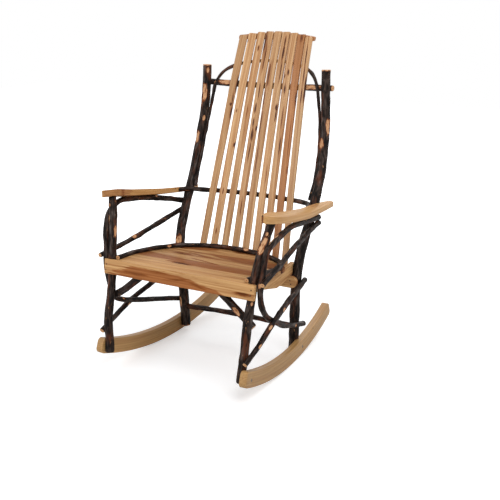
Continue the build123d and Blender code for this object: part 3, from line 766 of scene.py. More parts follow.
# ---------------------------------------------------------------- the sticks, measured on the frame
@dataclass
class Survey:
    """A stick's axis, and its outline round the axis, measured on its CAD node.

    Attributes:
        node: The CAD node.
        columns: Points round the stick.
        spacing: Metres between stations along the axis.
        march: Metres between the sections that find the axis.
        tolerance: How far off its circle the skin may lie and still be uncut, in metres.
        points: Corner places of the node, N x 3.
        triangles: Corner numbers of its triangles, M x 3.
        corners: Corner places of each triangle, M x 3 x 3.
        areas: Twice the area of each triangle.
        normals: Unit normal of each triangle.
        middles: Middle of each triangle.
        track: Centre and radius of those sections, K x 4.
        planes: Unit normal and distance of the plane of each sawn end.
        length: Each station's distance along the axis.
        axis: Each station's centre.
        size: Radius of the uncut stick at each station.
        tangent: Direction of the axis at each station.
        side: First cross axis at each station.
        up: Second cross axis at each station.
        angles: Angle of each column round the stick.
        outlines: Distance from the axis to the surface, stations x columns.
    """

    node: str
    columns: int = 40
    spacing: float = 0.003
    march: float = 0.004
    tolerance: float = 0.00035
    points: np.ndarray = field(init=False)
    triangles: np.ndarray = field(init=False)
    corners: np.ndarray = field(init=False)
    areas: np.ndarray = field(init=False)
    normals: np.ndarray = field(init=False)
    middles: np.ndarray = field(init=False)
    track: np.ndarray = field(init=False)
    planes: list[tuple[np.ndarray, float]] = field(init=False)
    length: np.ndarray = field(init=False)
    axis: np.ndarray = field(init=False)
    size: np.ndarray = field(init=False)
    tangent: np.ndarray = field(init=False)
    side: np.ndarray = field(init=False)
    up: np.ndarray = field(init=False)
    angles: np.ndarray = field(init=False)
    outlines: np.ndarray = field(init=False)

    def __post_init__(self) -> None:
        """Reads the node and measures it."""
        self.points, self.triangles = node_mesh(self.node)
        self.corners = self.points[self.triangles]
        across = np.cross(self.corners[:, 1] - self.corners[:, 0], self.corners[:, 2] - self.corners[:, 0])
        self.areas = np.linalg.norm(across, axis=1) + 1e-15
        self.normals = across / self.areas[:, None]
        self.middles = self.corners.mean(1)
        self.walk()
        self.resample()

    def section(self, center: np.ndarray, tangent: np.ndarray, reach: float) -> np.ndarray:
        """Cuts the node with a plane.

        Args:
            center: A point of the plane.
            tangent: The plane's normal.
            reach: How far from the centre the cut is kept.

        Returns:
            The cut as segments, K x 2 x 3.
        """
        height = (self.points - center) @ tangent
        level = height[self.triangles]
        crossing = (level.min(1) < 0.0) & (level.max(1) >= 0.0)
        near = np.linalg.norm(self.middles - center, axis=1) < reach + 0.06
        level, corner = level[crossing & near], self.corners[crossing & near]
        ends, passes = [], []
        for first, second in ((0, 1), (1, 2), (2, 0)):
            drop = level[:, first] - level[:, second]
            passes.append(level[:, first] * level[:, second] < 0.0)
            share = level[:, first] / np.where(np.abs(drop) < 1e-12, 1.0, drop)
            ends.append(corner[:, first] + share[:, None] * (corner[:, second] - corner[:, first]))
        ends, passes = np.stack(ends, 1), np.stack(passes, 1)
        whole = passes.sum(1) == 2
        segments = ends[whole][passes[whole]].reshape(-1, 2, 3)
        close = np.linalg.norm(segments - center, axis=2).max(1) < reach
        return segments[close]

    def circle(self, center: np.ndarray, tangent: np.ndarray,
               reach: float) -> tuple[np.ndarray, float] | None:
        """Fits a circle to the uncut part of a section, by least squares on x2 + y2.

        Args:
            center: Where the centre is expected.
            tangent: Direction of the axis there.
            reach: How far from the centre the section is read.

        Returns:
            Centre and radius, or None where the stick has ended.
        """
        rim = self.section(center, tangent, reach).reshape(-1, 3)
        if len(rim) < 12:
            return None
        side = unit(np.cross(tangent, TILTED))
        up = np.cross(tangent, side)
        flat = np.stack([(rim - center) @ side, (rim - center) @ up], 1)
        kept = np.ones(len(flat), bool)
        for _ in range(4):
            terms = np.column_stack([2.0 * flat[kept], np.ones(kept.sum())])
            found = np.linalg.lstsq(terms, (flat[kept] ** 2).sum(1), rcond=None)[0]
            radius = math.sqrt(max(found[2] + found[0] ** 2 + found[1] ** 2, 0.0))
            error = np.abs(np.linalg.norm(flat - found[:2], axis=1) - radius)
            kept = error <= max(self.tolerance, np.median(error))
            if kept.sum() < 8:
                return None
        return center + found[0] * side + found[1] * up, radius

    def start(self) -> tuple[np.ndarray, np.ndarray, float]:
        """Finds an uncut place on the stick.

        The axis there is the direction that the normals of the skin have least of.

        Returns:
            Centre, direction and radius.
        """
        best = None
        for middle in self.middles[:: max(1, len(self.middles) // 40)]:
            near = np.linalg.norm(self.middles - middle, axis=1) < 0.03
            weights = self.areas[near, None, None]
            spread = (weights * self.normals[near, :, None] * self.normals[near, None, :]).sum(0)
            sizes, directions = np.linalg.eigh(spread)
            fit = self.circle(self.middles[near].mean(0), directions[:, 0], 0.045)
            score = sizes[0] / sizes.sum()
            if fit and 0.003 < fit[1] < 0.025 and (best is None or score < best[0]):
                best = (score, fit[0], directions[:, 0], fit[1])
        return best[1], best[2], best[3]

    def walk(self) -> None:
        """Steps along the axis from the start to both ends, one section at a time."""
        center, direction, radius = self.start()
        halves = []
        for tangent in (direction, -direction):
            here, size, steps = center, radius, []
            while True:
                ahead = self.circle(here + self.march * tangent, tangent, 1.7 * size)
                if ahead is None or not 0.75 < ahead[1] / size < 1.25:
                    break
                onward = unit(ahead[0] - here)
                if onward @ tangent < 0.8:
                    break
                tangent = unit(tangent + onward)
                here, size = ahead
                steps.append((*here, size))
            halves.append(np.array(steps).reshape(-1, 4))
        track = np.concatenate([halves[1][::-1], [[*center, radius]], halves[0]])
        if track[0, 2] > track[-1, 2]:
            track = track[::-1]
        smooth = np.ones(3) / 3.0
        inner = np.stack([np.convolve(track[:, axis], smooth, "valid") for axis in range(4)], 1)
        self.track = inner[1:-1]

    def end_plane(self, center: np.ndarray, outward: np.ndarray, size: float) -> tuple[np.ndarray, float]:
        """The plane of a sawn end.

        Args:
            center: Last place measured on the axis.
            outward: Direction of the axis out of the stick.
            size: Radius there.

        Returns:
            The plane's unit normal and its distance along it.
        """
        offset = self.middles - center
        along = offset @ outward
        beside = np.linalg.norm(offset - along[:, None] * outward, axis=1)
        cap = (along > -1.5 * size) & (along < 4.0 * size) & (beside < 1.1 * size)
        cap &= self.normals @ outward > 0.5
        biggest = self.normals[cap][np.argmax(self.areas[cap])]
        face = cap & (self.normals @ biggest > 0.995)
        normal = unit((self.areas[face, None] * self.normals[face]).sum(0))
        distance = np.average(self.middles[face] @ normal, weights=self.areas[face])
        return normal, distance

    def resample(self) -> None:
        """Lays evenly spaced stations along the axis, from sawn end to sawn end.

        The axis runs on straight past its last section. Its distance to the plane of an end is the
        plane's distance less that of the section, divided by the normal's part along the axis. A
        leaning plane leaves the stick a radius times its lean further on, where the stations end.
        """
        axis, sizes = self.track[:, :3], self.track[:, 3]
        first, last = unit(axis[0] - axis[4]), unit(axis[-1] - axis[-5])
        self.planes = [self.end_plane(axis[0], first, sizes[0]), self.end_plane(axis[-1], last, sizes[-1])]
        spare = [2.5 * sizes[0], 2.5 * sizes[-1]]
        axis = np.concatenate([[axis[0] + spare[0] * first], axis, [axis[-1] + spare[1] * last]])
        sizes = np.concatenate([sizes[:1], sizes, sizes[-1:]])
        length = np.concatenate([[0.0], np.cumsum(np.linalg.norm(np.diff(axis, axis=0), axis=1))])
        reaches, leans = [], []
        for (normal, distance), origin, outward, radius in zip(
                self.planes, (axis[1], axis[-2]), (first, last), (sizes[0], sizes[-1])):
            facing = normal @ outward
            reaches.append((distance - origin @ normal) / facing)
            leans.append(radius * math.sqrt(max(1.0 - facing ** 2, 0.0)) / facing)
        low = spare[0] - reaches[0] - leans[0]
        high = length[-1] - spare[1] + reaches[1] + leans[1]
        self.length = np.linspace(low, high, max(int((high - low) / self.spacing), 8))
        self.axis = np.stack([np.interp(self.length, length, axis[:, i]) for i in range(3)], 1)
        self.size = np.interp(self.length, length, sizes)
        self.tangent = unit(np.gradient(self.axis, axis=0))
        self.frames()
        self.trace(*leans)

    def trace(self, first_lean: float, last_lean: float) -> None:
        """Measures the outline at each station, and carries on the last whole one to each end.

        Args:
            first_lean: How far the first end's plane leans along the stick, from axis to skin.
            last_lean: The same for the last end.
        """
        low = self.length[0] + 2.0 * first_lean + 2.5 * MM
        high = self.length[-1] - 2.0 * last_lean - 2.5 * MM
        rows = np.flatnonzero((self.length > low) & (self.length < high))
        self.angles = np.linspace(0.0, 2.0 * np.pi, self.columns, endpoint=False)
        outlines = np.stack([self.outline(row) for row in rows])
        self.outlines = outlines[np.clip(np.arange(len(self.length)), rows[0], rows[-1]) - rows[0]]

    def end_rows(self) -> list[tuple[slice, float, np.ndarray, float]]:
        """For each end: its rows, the axis's sense out of it, and its plane's normal and distance."""
        rows = int(0.05 / self.spacing)
        return [(slice(0, rows), -1.0, *self.planes[0]), (slice(-rows, None), 1.0, *self.planes[1])]

    def frames(self) -> None:
        """Carries a pair of cross axes along the stick with as little twist as possible."""
        side = unit(np.cross(self.tangent[0], TILTED))
        sides = [side]
        for tangent in self.tangent[1:]:
            side = unit(side - (side @ tangent) * tangent)
            sides.append(side)
        self.side = np.array(sides)
        self.up = np.cross(self.tangent, self.side)

    def outline(self, row: int) -> np.ndarray:
        """Distance from the axis to the node's surface in each direction, at one station.

        Args:
            row: The station.

        Returns:
            One distance for each column; where the stick is uncut it is the round radius.
        """
        center, radius = self.axis[row], self.size[row]
        cut = self.section(center, self.tangent[row], 1.8 * radius) - center
        flat = np.stack([cut @ self.side[row], cut @ self.up[row]], -1)
        ray = np.stack([np.cos(self.angles), np.sin(self.angles)], 1)
        before = ray[:, None, 0] * flat[None, :, 0, 1] - ray[:, None, 1] * flat[None, :, 0, 0]
        after = ray[:, None, 0] * flat[None, :, 1, 1] - ray[:, None, 1] * flat[None, :, 1, 0]
        share = before / np.where(np.abs(before - after) < 1e-12, 1e-12, before - after)
        crossing = flat[None, :, 0] + share[..., None] * (flat[None, :, 1] - flat[None, :, 0])
        distance = (crossing * ray[:, None]).sum(-1)
        met = (share >= 0.0) & (share <= 1.0) & (distance > 0.0)
        reached = np.where(met, distance, 0.0).max(1)
        reached = np.where(reached > 0.3 * radius, reached, radius)
        return np.where(np.abs(reached - radius) < self.tolerance, radius, np.minimum(reached, radius))

    def place(self, view: "View", pixel: Pixel) -> tuple[float, float]:
        """Where a line of sight meets the stick.

        Args:
            view: The camera.
            pixel: The line of sight, as a place in the picture frame.

        Returns:
            Distance along the stick, and angle round it.
        """
        origin, sight = view.sight(pixel)
        offset = self.axis - origin
        beside = offset - (offset @ sight)[:, None] * sight
        row = int(np.argmin(np.linalg.norm(beside, axis=1)))
        away = -beside[row]
        away = away - (away @ self.tangent[row]) * self.tangent[row]
        away = away * min(1.0, 0.95 * self.size[row] / (np.linalg.norm(away) + 1e-9))
        back = -(sight - (sight @ self.tangent[row]) * self.tangent[row])
        toward = away + unit(back) * math.sqrt(max(self.size[row] ** 2 - away @ away, 0.0))
        return self.length[row], math.atan2(toward @ self.up[row], toward @ self.side[row])


@dataclass(frozen=True)
class Patch:
    """A place where the bark is shaved off a knot or a bend.

    Attributes:
        pixel: Where it shows in the picture frame.
        length: Length along the stick in metres.
        width: Width round the stick in metres.
    """

    pixel: Pixel
    length: float
    width: float


@dataclass
class Stick:
    """One pole with its bark on.

    Attributes:
        node: The CAD node that it stands for.
        seed: Draws its bark, its knots and its hidden patches.
        columns: Points round the stick.
        patches: Places where it is shaved.
        knots: How many swellings it has besides.
        furrow: Depth of the bark's furrows in metres.
        lump: Height of its broad unevenness in metres.
        thick: Thickness of the loose outer bark in metres.
        hump: Height of the swelling under a shaved place in metres.
        knot_size: Half length and half width of a knot in metres.
        knot_height: Least and greatest height of a knot in metres.
        bevel: Width of the rounded rim of a sawn end in metres.
        chipped: Whether the bark has come off at the rims of its sawn ends.
        hidden: How many shaved places it has on the side away from the camera.
    """

    node: str
    seed: int
    columns: int = 40
    patches: tuple[Patch, ...] = ()
    knots: int = 4
    furrow: float = 0.0004
    lump: float = 0.0007
    thick: float = 0.0009
    hump: float = 0.0011
    knot_size: tuple[float, float] = (0.009, 0.006)
    knot_height: tuple[float, float] = (0.0008, 0.0018)
    chipped: bool = False
    bevel: float = 0.0016
    hidden: int = 3

    def waves(self, length: np.ndarray, angle: np.ndarray, count: int, along: tuple[float, float],
              around: tuple[int, int], random: np.random.Generator) -> np.ndarray:
        """Sum of waves with random phases, closed round the stick.

        Each wave is the sine of its rate along the stick times length, plus a whole number of turns
        times the angle, plus a phase; the sum is scaled to about -1 to 1.

        Args:
            length: Distance along the stick at each point.
            angle: Angle round the stick at each point.
            count: Number of waves.
            along: Shortest and longest wave along the stick, in metres.
            around: Fewest and most waves round the stick.
            random: The stick's own random numbers.

        Returns:
            The sum at each point.
        """
        rate = 2.0 * np.pi / random.uniform(*along, count) * random.choice([-1.0, 1.0], count)
        turns = random.integers(around[0], around[1] + 1, count)
        phase = random.uniform(0.0, 2.0 * np.pi, count)
        wave = np.sin(length[..., None] * rate + angle[..., None] * turns + phase)
        return wave.sum(-1) / math.sqrt(count)

    def shaved(self, survey: Survey, view: "View", random: np.random.Generator) -> list[tuple]:
        """Every shaved patch as distance along, angle, half length and half width.

        Args:
            survey: The stick's measures.
            view: The camera, for patches given in the picture frame.
            random: The stick's own random numbers, for patches on hidden sides.

        Returns:
            One row for each patch.
        """
        rows = [(*survey.place(view, patch.pixel), patch.length / 2, patch.width / 2)
                for patch in self.patches]
        for _ in range(self.hidden):
            row = int(random.uniform(0.1, 0.9) * len(survey.length))
            away = survey.axis[row] - view.eye
            away = away - (away @ survey.tangent[row]) * survey.tangent[row]
            angle = math.atan2(away @ survey.up[row], away @ survey.side[row]) + random.uniform(-0.9, 0.9)
            rows.append((survey.length[row], angle, random.uniform(0.008, 0.02),
                         random.uniform(0.4, 0.7) * survey.size[row]))
        return rows

    def rims(self, survey: Survey, length: np.ndarray, ridges: np.ndarray) -> np.ndarray:
        """Where the bark has come off at the sawn ends, along an uneven line.

        Args:
            survey: The stick's measures.
            length: Distance along the stick at each point.
            ridges: The bark's ridges at each point, which make the line uneven.

        Returns:
            The peel at each point: 0.6 less the distance to the nearer end over the chip's length.
        """
        if not self.chipped:
            return np.full(length.shape, -1.0)
        chip = 0.006 + 0.0025 * np.clip(ridges, -1.0, 1.0)
        nearer = np.minimum(length - survey.length[0], survey.length[-1] - length)
        return np.clip(0.6 - nearer / chip, -1.0, 0.6)

    def knotted(self, survey: Survey, length: np.ndarray, angle: np.ndarray, relief: np.ndarray,
                random: np.random.Generator) -> np.ndarray:
        """Adds the knots, each a bell curve along and round the stick.

        Args:
            survey: The stick's measures.
            length: Distance along the stick at each point.
            angle: Angle round the stick at each point.
            relief: Height of the bark at each point.
            random: The stick's own random numbers.

        Returns:
            The height with its knots.
        """
        half_length, half_width = self.knot_size
        for _ in range(self.knots):
            along = random.uniform(survey.length[0] + 0.03, survey.length[-1] - 0.03)
            turn = np.angle(np.exp(1j * (angle - random.uniform(0.0, 2.0 * np.pi))))
            swell = np.exp(-0.5 * ((length - along) / half_length) ** 2
                           - 0.5 * (turn * survey.size[:, None] / half_width) ** 2)
            relief = relief + random.uniform(*self.knot_height) * swell
        return relief

    def surface(self, view: "View") -> Surface:
        """The stick as a grid along and round its axis.

        Radius = the CAD outline plus the bark and its knots, and less its furrows, where the stick is
        uncut. A shaved place is a hump whose top is planed flat: there the bark's height goes over
        to that of a chord across the stick.

        Args:
            view: The camera, for patches given in the picture frame.

        Returns:
            The surface.
        """
        survey = Survey(self.node, self.columns)
        random = np.random.default_rng(self.seed)
        length, angle = np.meshgrid(survey.length, survey.angles, indexing="ij")
        size = survey.size[:, None]
        lumps = np.clip(self.waves(length, angle, 9, (0.05, 0.22), (0, 2), random), -1.5, 1.1)
        ridges = np.clip(self.waves(length, angle, 26, (0.02, 0.09), (5, 13), random), -1.6, 1.1)
        relief = 0.5 * self.furrow * ridges + self.lump * lumps + self.thick
        peel = self.rims(survey, length, ridges)
        for along, around, half_length, half_width in self.shaved(survey, view, random):
            turn = np.angle(np.exp(1j * (angle - around)))
            away = length - along
            inside = 1.0 - np.hypot(away / half_length, turn * size / half_width)
            peel = np.maximum(peel, inside)
            hump = np.exp(-0.5 * (away / (1.3 * half_length)) ** 2 - 0.5 * (turn / 0.8) ** 2)
            relief = relief + self.hump * hump
            half_turn = min(half_width / float(size.mean()), 1.0)
            chord = (size + 0.2 * MM) * math.cos(half_turn) / np.maximum(np.cos(turn), 0.3)
            planed = np.minimum(chord - size, 0.0) * 0.55 - 0.3 * MM
            relief = relief + rounded(inside, -0.1, 0.25) * (np.cos(turn) > 0.3) * (planed - relief)
        relief = self.knotted(survey, length, angle, relief, random)
        uncut = rounded(survey.outlines - size, -1.2 * MM, -0.2 * MM)
        radius = survey.outlines + uncut * relief - (1.0 - uncut) * 0.1 * MM
        grain = np.stack([length, size * np.sin(angle), size * np.cos(angle)], -1)
        return self.close(self.trimmed(survey, radius), grain, peel)

    def trimmed(self, survey: Survey, radius: np.ndarray) -> np.ndarray:
        """Lays the grid's points round the axis, with the rims of its ends rounded.

        Near an end the radius falls along a quarter circle, and points past the end's plane slide
        back onto it along the axis.

        Args:
            survey: The stick's measures.
            radius: Radius at each point of the grid.

        Returns:
            Places, rows x columns x 3.
        """
        ray = (np.cos(survey.angles)[None, :, None] * survey.side[:, None]
               + np.sin(survey.angles)[None, :, None] * survey.up[:, None])
        for rows, sense, normal, distance in survey.end_rows():
            slope = sense * survey.tangent[rows] @ normal
            places = survey.axis[rows, None] + radius[rows, :, None] * ray[rows]
            left = (distance - places @ normal) / slope[:, None]
            depth = np.clip(1.0 - left / self.bevel, 0.0, 1.0)
            radius[rows] -= 0.8 * self.bevel * (1.0 - np.sqrt(1.0 - depth ** 2))
        places = survey.axis[:, None] + radius[..., None] * ray
        for rows, sense, normal, distance in survey.end_rows():
            slope = sense * survey.tangent[rows] @ normal
            past = np.maximum(places[rows] @ normal - distance, 0.0) / slope[:, None]
            places[rows] -= sense * past[..., None] * survey.tangent[rows, None]
        return places

    def close(self, places: np.ndarray, grain: np.ndarray, peel: np.ndarray) -> Surface:
        """Adds rings and a last small face to each end, so that the stick is closed.

        Args:
            places: The grid's points, rows x columns x 3.
            grain: The grid's wood coordinates.
            peel: The grid's peel values.

        Returns:
            The closed surface.
        """
        shares = np.array([0.66, 0.33, 0.06])[:, None, None]
        rings, woods = [], []
        for rim, wood in ((places[0], grain[0]), (places[-1], grain[-1])):
            rings.append(rim.mean(0) + shares * (rim - rim.mean(0)))
            woods.append(shares * wood)
        rings = np.concatenate([rings[0][::-1], places, rings[1]])
        wood = np.concatenate([woods[0][::-1], grain, woods[1]])
        bare = np.pad(peel, ((len(shares), len(shares)), (0, 0)), constant_values=-1.0)
        sides = tube_faces(len(rings), self.columns)
        row = sides[:, 0] // self.columns
        sawn = (row < len(shares)) | (row >= len(rings) - len(shares) - 1)
        first = list(range(self.columns))
        last = [number + (len(rings) - 1) * self.columns for number in first]
        faces = sides.tolist() + [first[::-1], last]
        points = np.clip(rings.reshape(-1, 3), BOX_LOW, BOX_HIGH)
        wood = wood.reshape(-1, 3).astype(np.float32)
        return Surface(points, faces, wood, bare.ravel().astype(np.float32), np.append(sawn, [True, True]))


# ---------------------------------------------------------------- sight lines and nails
def struck(view: "View", pixel: Pixel, nodes: list[str]) -> tuple[np.ndarray, np.ndarray]:
    """Where a line of sight first meets some CAD nodes.

    Each triangle is met where the line's weights of its corners are all positive, found for all
    triangles at once by cross products.

    Args:
        view: The camera.
        pixel: The line of sight, as a place in the picture frame.
        nodes: The nodes.

    Returns:
        The place and the surface's unit normal there; the nearest corner where nothing is met.
    """
    origin, sight = view.sight(pixel)
    meshes = [node_mesh(node) for node in nodes]
    corners = np.concatenate([points[triangles] for points, triangles in meshes])
    first, second = corners[:, 1] - corners[:, 0], corners[:, 2] - corners[:, 0]
    across = np.cross(sight, second)
    scale = (first * across).sum(1)
    scale = np.where(np.abs(scale) < 1e-14, 1e-14, scale)
    offset = origin - corners[:, 0]
    share = (offset * across).sum(1) / scale
    beside = np.cross(offset, first)
    other = (beside @ sight) / scale
    reach = (second * beside).sum(1) / scale
    met = (share >= 0.0) & (other >= 0.0) & (share + other <= 1.0) & (reach > 0.0)
    if met.any():
        nearest = int(np.argmin(np.where(met, reach, np.inf)))
        return origin + reach[nearest] * sight, unit(np.cross(first[nearest], second[nearest]))
    nearest = int(np.argmin(np.linalg.norm(np.cross(corners[:, 0] - origin, sight), axis=1)))
    return corners[nearest, 0], unit(np.cross(first[nearest], second[nearest]))


@dataclass
class Nails:
    """The dark nail heads that show on the boards and sticks.

    Attributes:
        radius: Radius of a head in metres.
        height: Height of its dome in metres.
        rings: Points from the rim of a head to its top.
        columns: Points round a head.
        steel: Its finish.
    """

    radius: float = 0.0026
    height: float = 0.0006
    rings: int = 5
    columns: int = 16
    steel: Metal = Metal(paint(58, 48, 42), paint(26, 20, 18), 0.6)

    def places(self) -> list[tuple[Pixel, list[str]]]:
        """Where the nails are.

        Returns:
            Each nail's place in the picture frame, and the nodes that it may be in.
        """
        in_apron = [(106.5, 264.0), (105.8, 269.2), (251.0, 290.5), (250.2, 295.7)]
        elsewhere = [(175.6, 188.3), (305.7, 203.5), (262.6, 216.0), (289.8, 280.8), (290.6, 284.4),
                     (313.0, 328.3)]
        others = ["arm_left", "arm_right", "back_middle_rail", "seat_rear_rail", "rocker_right"]
        return [(spot, ["seat_front_apron"]) for spot in in_apron] + [(spot, others) for spot in elsewhere]

    def head(self, place: np.ndarray, normal: np.ndarray) -> tuple[np.ndarray, np.ndarray]:
        """One low dome: its points' radius is a cosine, and their height a sine, of one slope.

        Args:
            place: Middle of the head on the wood.
            normal: Direction out of the wood.

        Returns:
            Its points and quads.
        """
        slope = np.linspace(0.0, 0.5 * np.pi, self.rings)[:, None]
        turn = np.linspace(0.0, 2.0 * np.pi, self.columns, endpoint=False)[None]
        side = unit(np.cross(normal, [0.21, 0.34, 0.92]))
        up = np.cross(normal, side)
        flat = self.radius * np.cos(slope) + 1e-6
        raised = np.broadcast_to(self.height * (np.sin(slope) - 0.3), (self.rings, self.columns))
        points = (place + (flat * np.cos(turn))[..., None] * side + (flat * np.sin(turn))[..., None] * up
                  + raised[..., None] * normal)
        return points.reshape(-1, 3), tube_faces(self.rings, self.columns)

    def build(self, view: "View") -> None:
        """Makes all heads as one piece.

        Args:
            view: The camera, which finds each head's place on the wood.
        """
        points, faces = [], []
        for pixel, nodes in self.places():
            dome, quads = self.head(*struck(view, pixel, nodes))
            faces.append(quads + sum(len(part) for part in points))
            points.append(dome)
        places = np.clip(np.concatenate(points), BOX_LOW, BOX_HIGH)
        quads = np.concatenate(faces)
        surface = Surface(places, quads.tolist(), np.zeros(places.shape, np.float32),
                          np.zeros(len(places), np.float32), np.zeros(len(quads), bool))
        surface.piece("nail_heads", "steel", [self.steel.material("nail_steel")])


# ---------------------------------------------------------------- the boards, eased
class Fibres(Enum):
    """How the fibres run in a board: the axes along, across and through it."""

    SIDEWAYS = (0, 1, 2)
    SIDEWAYS_UPRIGHT = (0, 2, 1)
    BACKWARDS = (1, 0, 2)
    BACKWARDS_UPRIGHT = (1, 2, 0)
    UPWARDS = (2, 0, 1)


@dataclass
class Board:
    """One sawn or bent board with its arrises worn round.

    Attributes:
        node: The CAD node that it stands for.
        slot: The record's material slot.
        fibres: How its fibres run.
        cut: How it was sawn out of its log.
        edge: Radius of the worn arrises in metres.
        bend: Degree of the curve that its fibres follow; 0 for a board sawn straight.
        marks: Its streaks, knots and patches of heartwood.
        middle: Middle of its length.
        curves: Its place across and through, as polynomials of the distance from that middle.
    """

    node: str
    slot: str
    fibres: Fibres
    cut: Cut
    edge: float = 0.0015
    bend: int = 0
    marks: tuple[Mark, ...] = ()
    middle: float = field(init=False)
    curves: list[np.ndarray] = field(init=False)

    def follow(self) -> None:
        """Measures the board's run on its node.

        The middle of the board across and through it is a polynomial of the distance along it, so
        that the fibres of a bent board follow its bend.
        """
        points, _ = node_mesh(self.node)
        along, across, through = (points[:, axis] for axis in self.fibres.value)
        self.middle = (along.min() + along.max()) / 2
        self.curves = [np.polyfit(along - self.middle, values, self.bend) for values in (across, through)]

    def grain(self, points: np.ndarray) -> np.ndarray:
        """Coordinates along, across and through the wood.

        Args:
            points: Places, N x 3.

        Returns:
            Coordinates in metres, N x 3.
        """
        along, across, through = (points[:, axis] for axis in self.fibres.value)
        along = along - self.middle
        return np.stack([along, across - np.polyval(self.curves[0], along),
                         through - np.polyval(self.curves[1], along)], 1)

    def build(self, timber: Timber, view: "View") -> bpy.types.Object:
        """Copies the node's shape, rounds its arrises and dresses it.

        Args:
            timber: The finish.
            view: The camera, for marks given in the picture frame.

        Returns:
            The piece.
        """
        self.follow()
        points, triangles = node_mesh(self.node)
        mesh = bpy.data.meshes.new(self.node + "_eased")
        mesh.from_pydata(points.tolist(), [], triangles.tolist())
        work = bmesh.new()
        work.from_mesh(mesh)
        bmesh.ops.dissolve_limit(work, angle_limit=FLAT_ANGLE, verts=work.verts, edges=work.edges)
        arrises = [edge for edge in work.edges if edge.is_manifold and edge.calc_face_angle() > ARRIS_ANGLE]
        bmesh.ops.bevel(work, geom=arrises, offset=self.edge, offset_type="OFFSET", segments=3,
                        profile=0.5, affect="EDGES", clamp_overlap=True)
        bmesh.ops.triangulate(work, faces=work.faces)
        work.to_mesh(mesh)
        work.free()
        places = np.zeros(3 * len(mesh.vertices))
        mesh.vertices.foreach_get("co", places)
        grain = self.grain(places.reshape(-1, 3)).astype(np.float32)
        mesh.attributes.new(GRAIN, "FLOAT_VECTOR", "POINT").data.foreach_set("vector", grain.ravel())
        middles = [struck(view, mark.pixel, [self.node])[0] for mark in self.marks]
        marks = [(mark, self.grain(middle[None])[0]) for mark, middle in zip(self.marks, middles)]
        mesh.materials.append(timber.material(self.node + "_wood", self.cut, marks))
        mesh.shade_smooth()
        mesh.set_sharp_from_angle(angle=CREASE_ANGLE)
        return settle(bpy.data.objects.new(self.node + "_eased", mesh), self.slot, self.node)


# ---------------------------------------------------------------- camera, floor and light
@dataclass(frozen=True)
class View:
    """The camera: where it stands, how it is turned, and its lens.

    Attributes:
        eye: Its place in metres.
        yaw: Turn to the left of straight ahead, in radians.
        pitch: Turn below the level, in radians.
        roll: Lean to the side, in radians.
        reach: Focal length in picture widths.
    """

    eye: np.ndarray
    yaw: float = 0.5054
    pitch: float = 0.3014
    roll: float = -0.0036
    reach: float = 1.7

    def axes(self) -> np.ndarray:
        """The camera's own directions, from its turns to the left, down and to the side.

        Returns:
            Right, up and forward, as rows.
        """
        level = math.cos(self.pitch)
        forward = np.array([-math.sin(self.yaw) * level, math.cos(self.yaw) * level, -math.sin(self.pitch)])
        right = unit(np.cross(forward, [0.0, 0.0, 1.0]))
        up = np.cross(right, forward)
        lean, upright = math.sin(self.roll), math.cos(self.roll)
        return np.array([upright * right + lean * up, upright * up - lean * right, forward])

    def sight(self, pixel: Pixel) -> tuple[np.ndarray, np.ndarray]:
        """The line of sight through a place in the picture frame.

        Args:
            pixel: That place, from the frame's upper left corner.

        Returns:
            The camera's place, and the unit direction of sight.
        """
        right, up, forward = self.axes()
        shift = np.array([pixel[0] - FRAME_PX / 2, FRAME_PX / 2 - pixel[1]]) / (self.reach * FRAME_PX)
        return self.eye, unit(forward + shift[0] * right + shift[1] * up)

    def build(self) -> None:
        """Makes the scene's camera."""
        lens = bpy.data.cameras.new("camera")
        lens.sensor_width = 36.0
        lens.lens = self.reach * lens.sensor_width
        lens.clip_end = 60.0
        camera = bpy.data.objects.new("camera", lens)
        right, up, forward = self.axes()
        camera.matrix_world = turned(right, up, -forward, self.eye)
        bpy.context.scene.collection.objects.link(camera)
        bpy.context.scene.camera = camera


@dataclass(frozen=True)
class Lamp:
    """A large soft lamp.

    Attributes:
        name: Its name.
        place: Where it stands, in metres.
        size: Width and height in metres.
        power: Watts.
    """

    name: str
    place: tuple[float, float, float]
    size: tuple[float, float]
    power: float

    def build(self, target: np.ndarray) -> None:
        """Makes the lamp, turned towards a target.

        Args:
            target: What it shines at.
        """
        light = bpy.data.lights.new(self.name, "AREA")
        light.shape = "RECTANGLE"
        light.size, light.size_y = self.size
        light.energy = self.power
        lamp = bpy.data.objects.new(self.name, light)
        back = unit(np.array(self.place) - target)
        right = unit(np.cross([0.0, 0.02, 1.0], back))
        lamp.matrix_world = turned(right, np.cross(back, right), back, np.array(self.place))
        bpy.context.scene.collection.objects.link(lamp)


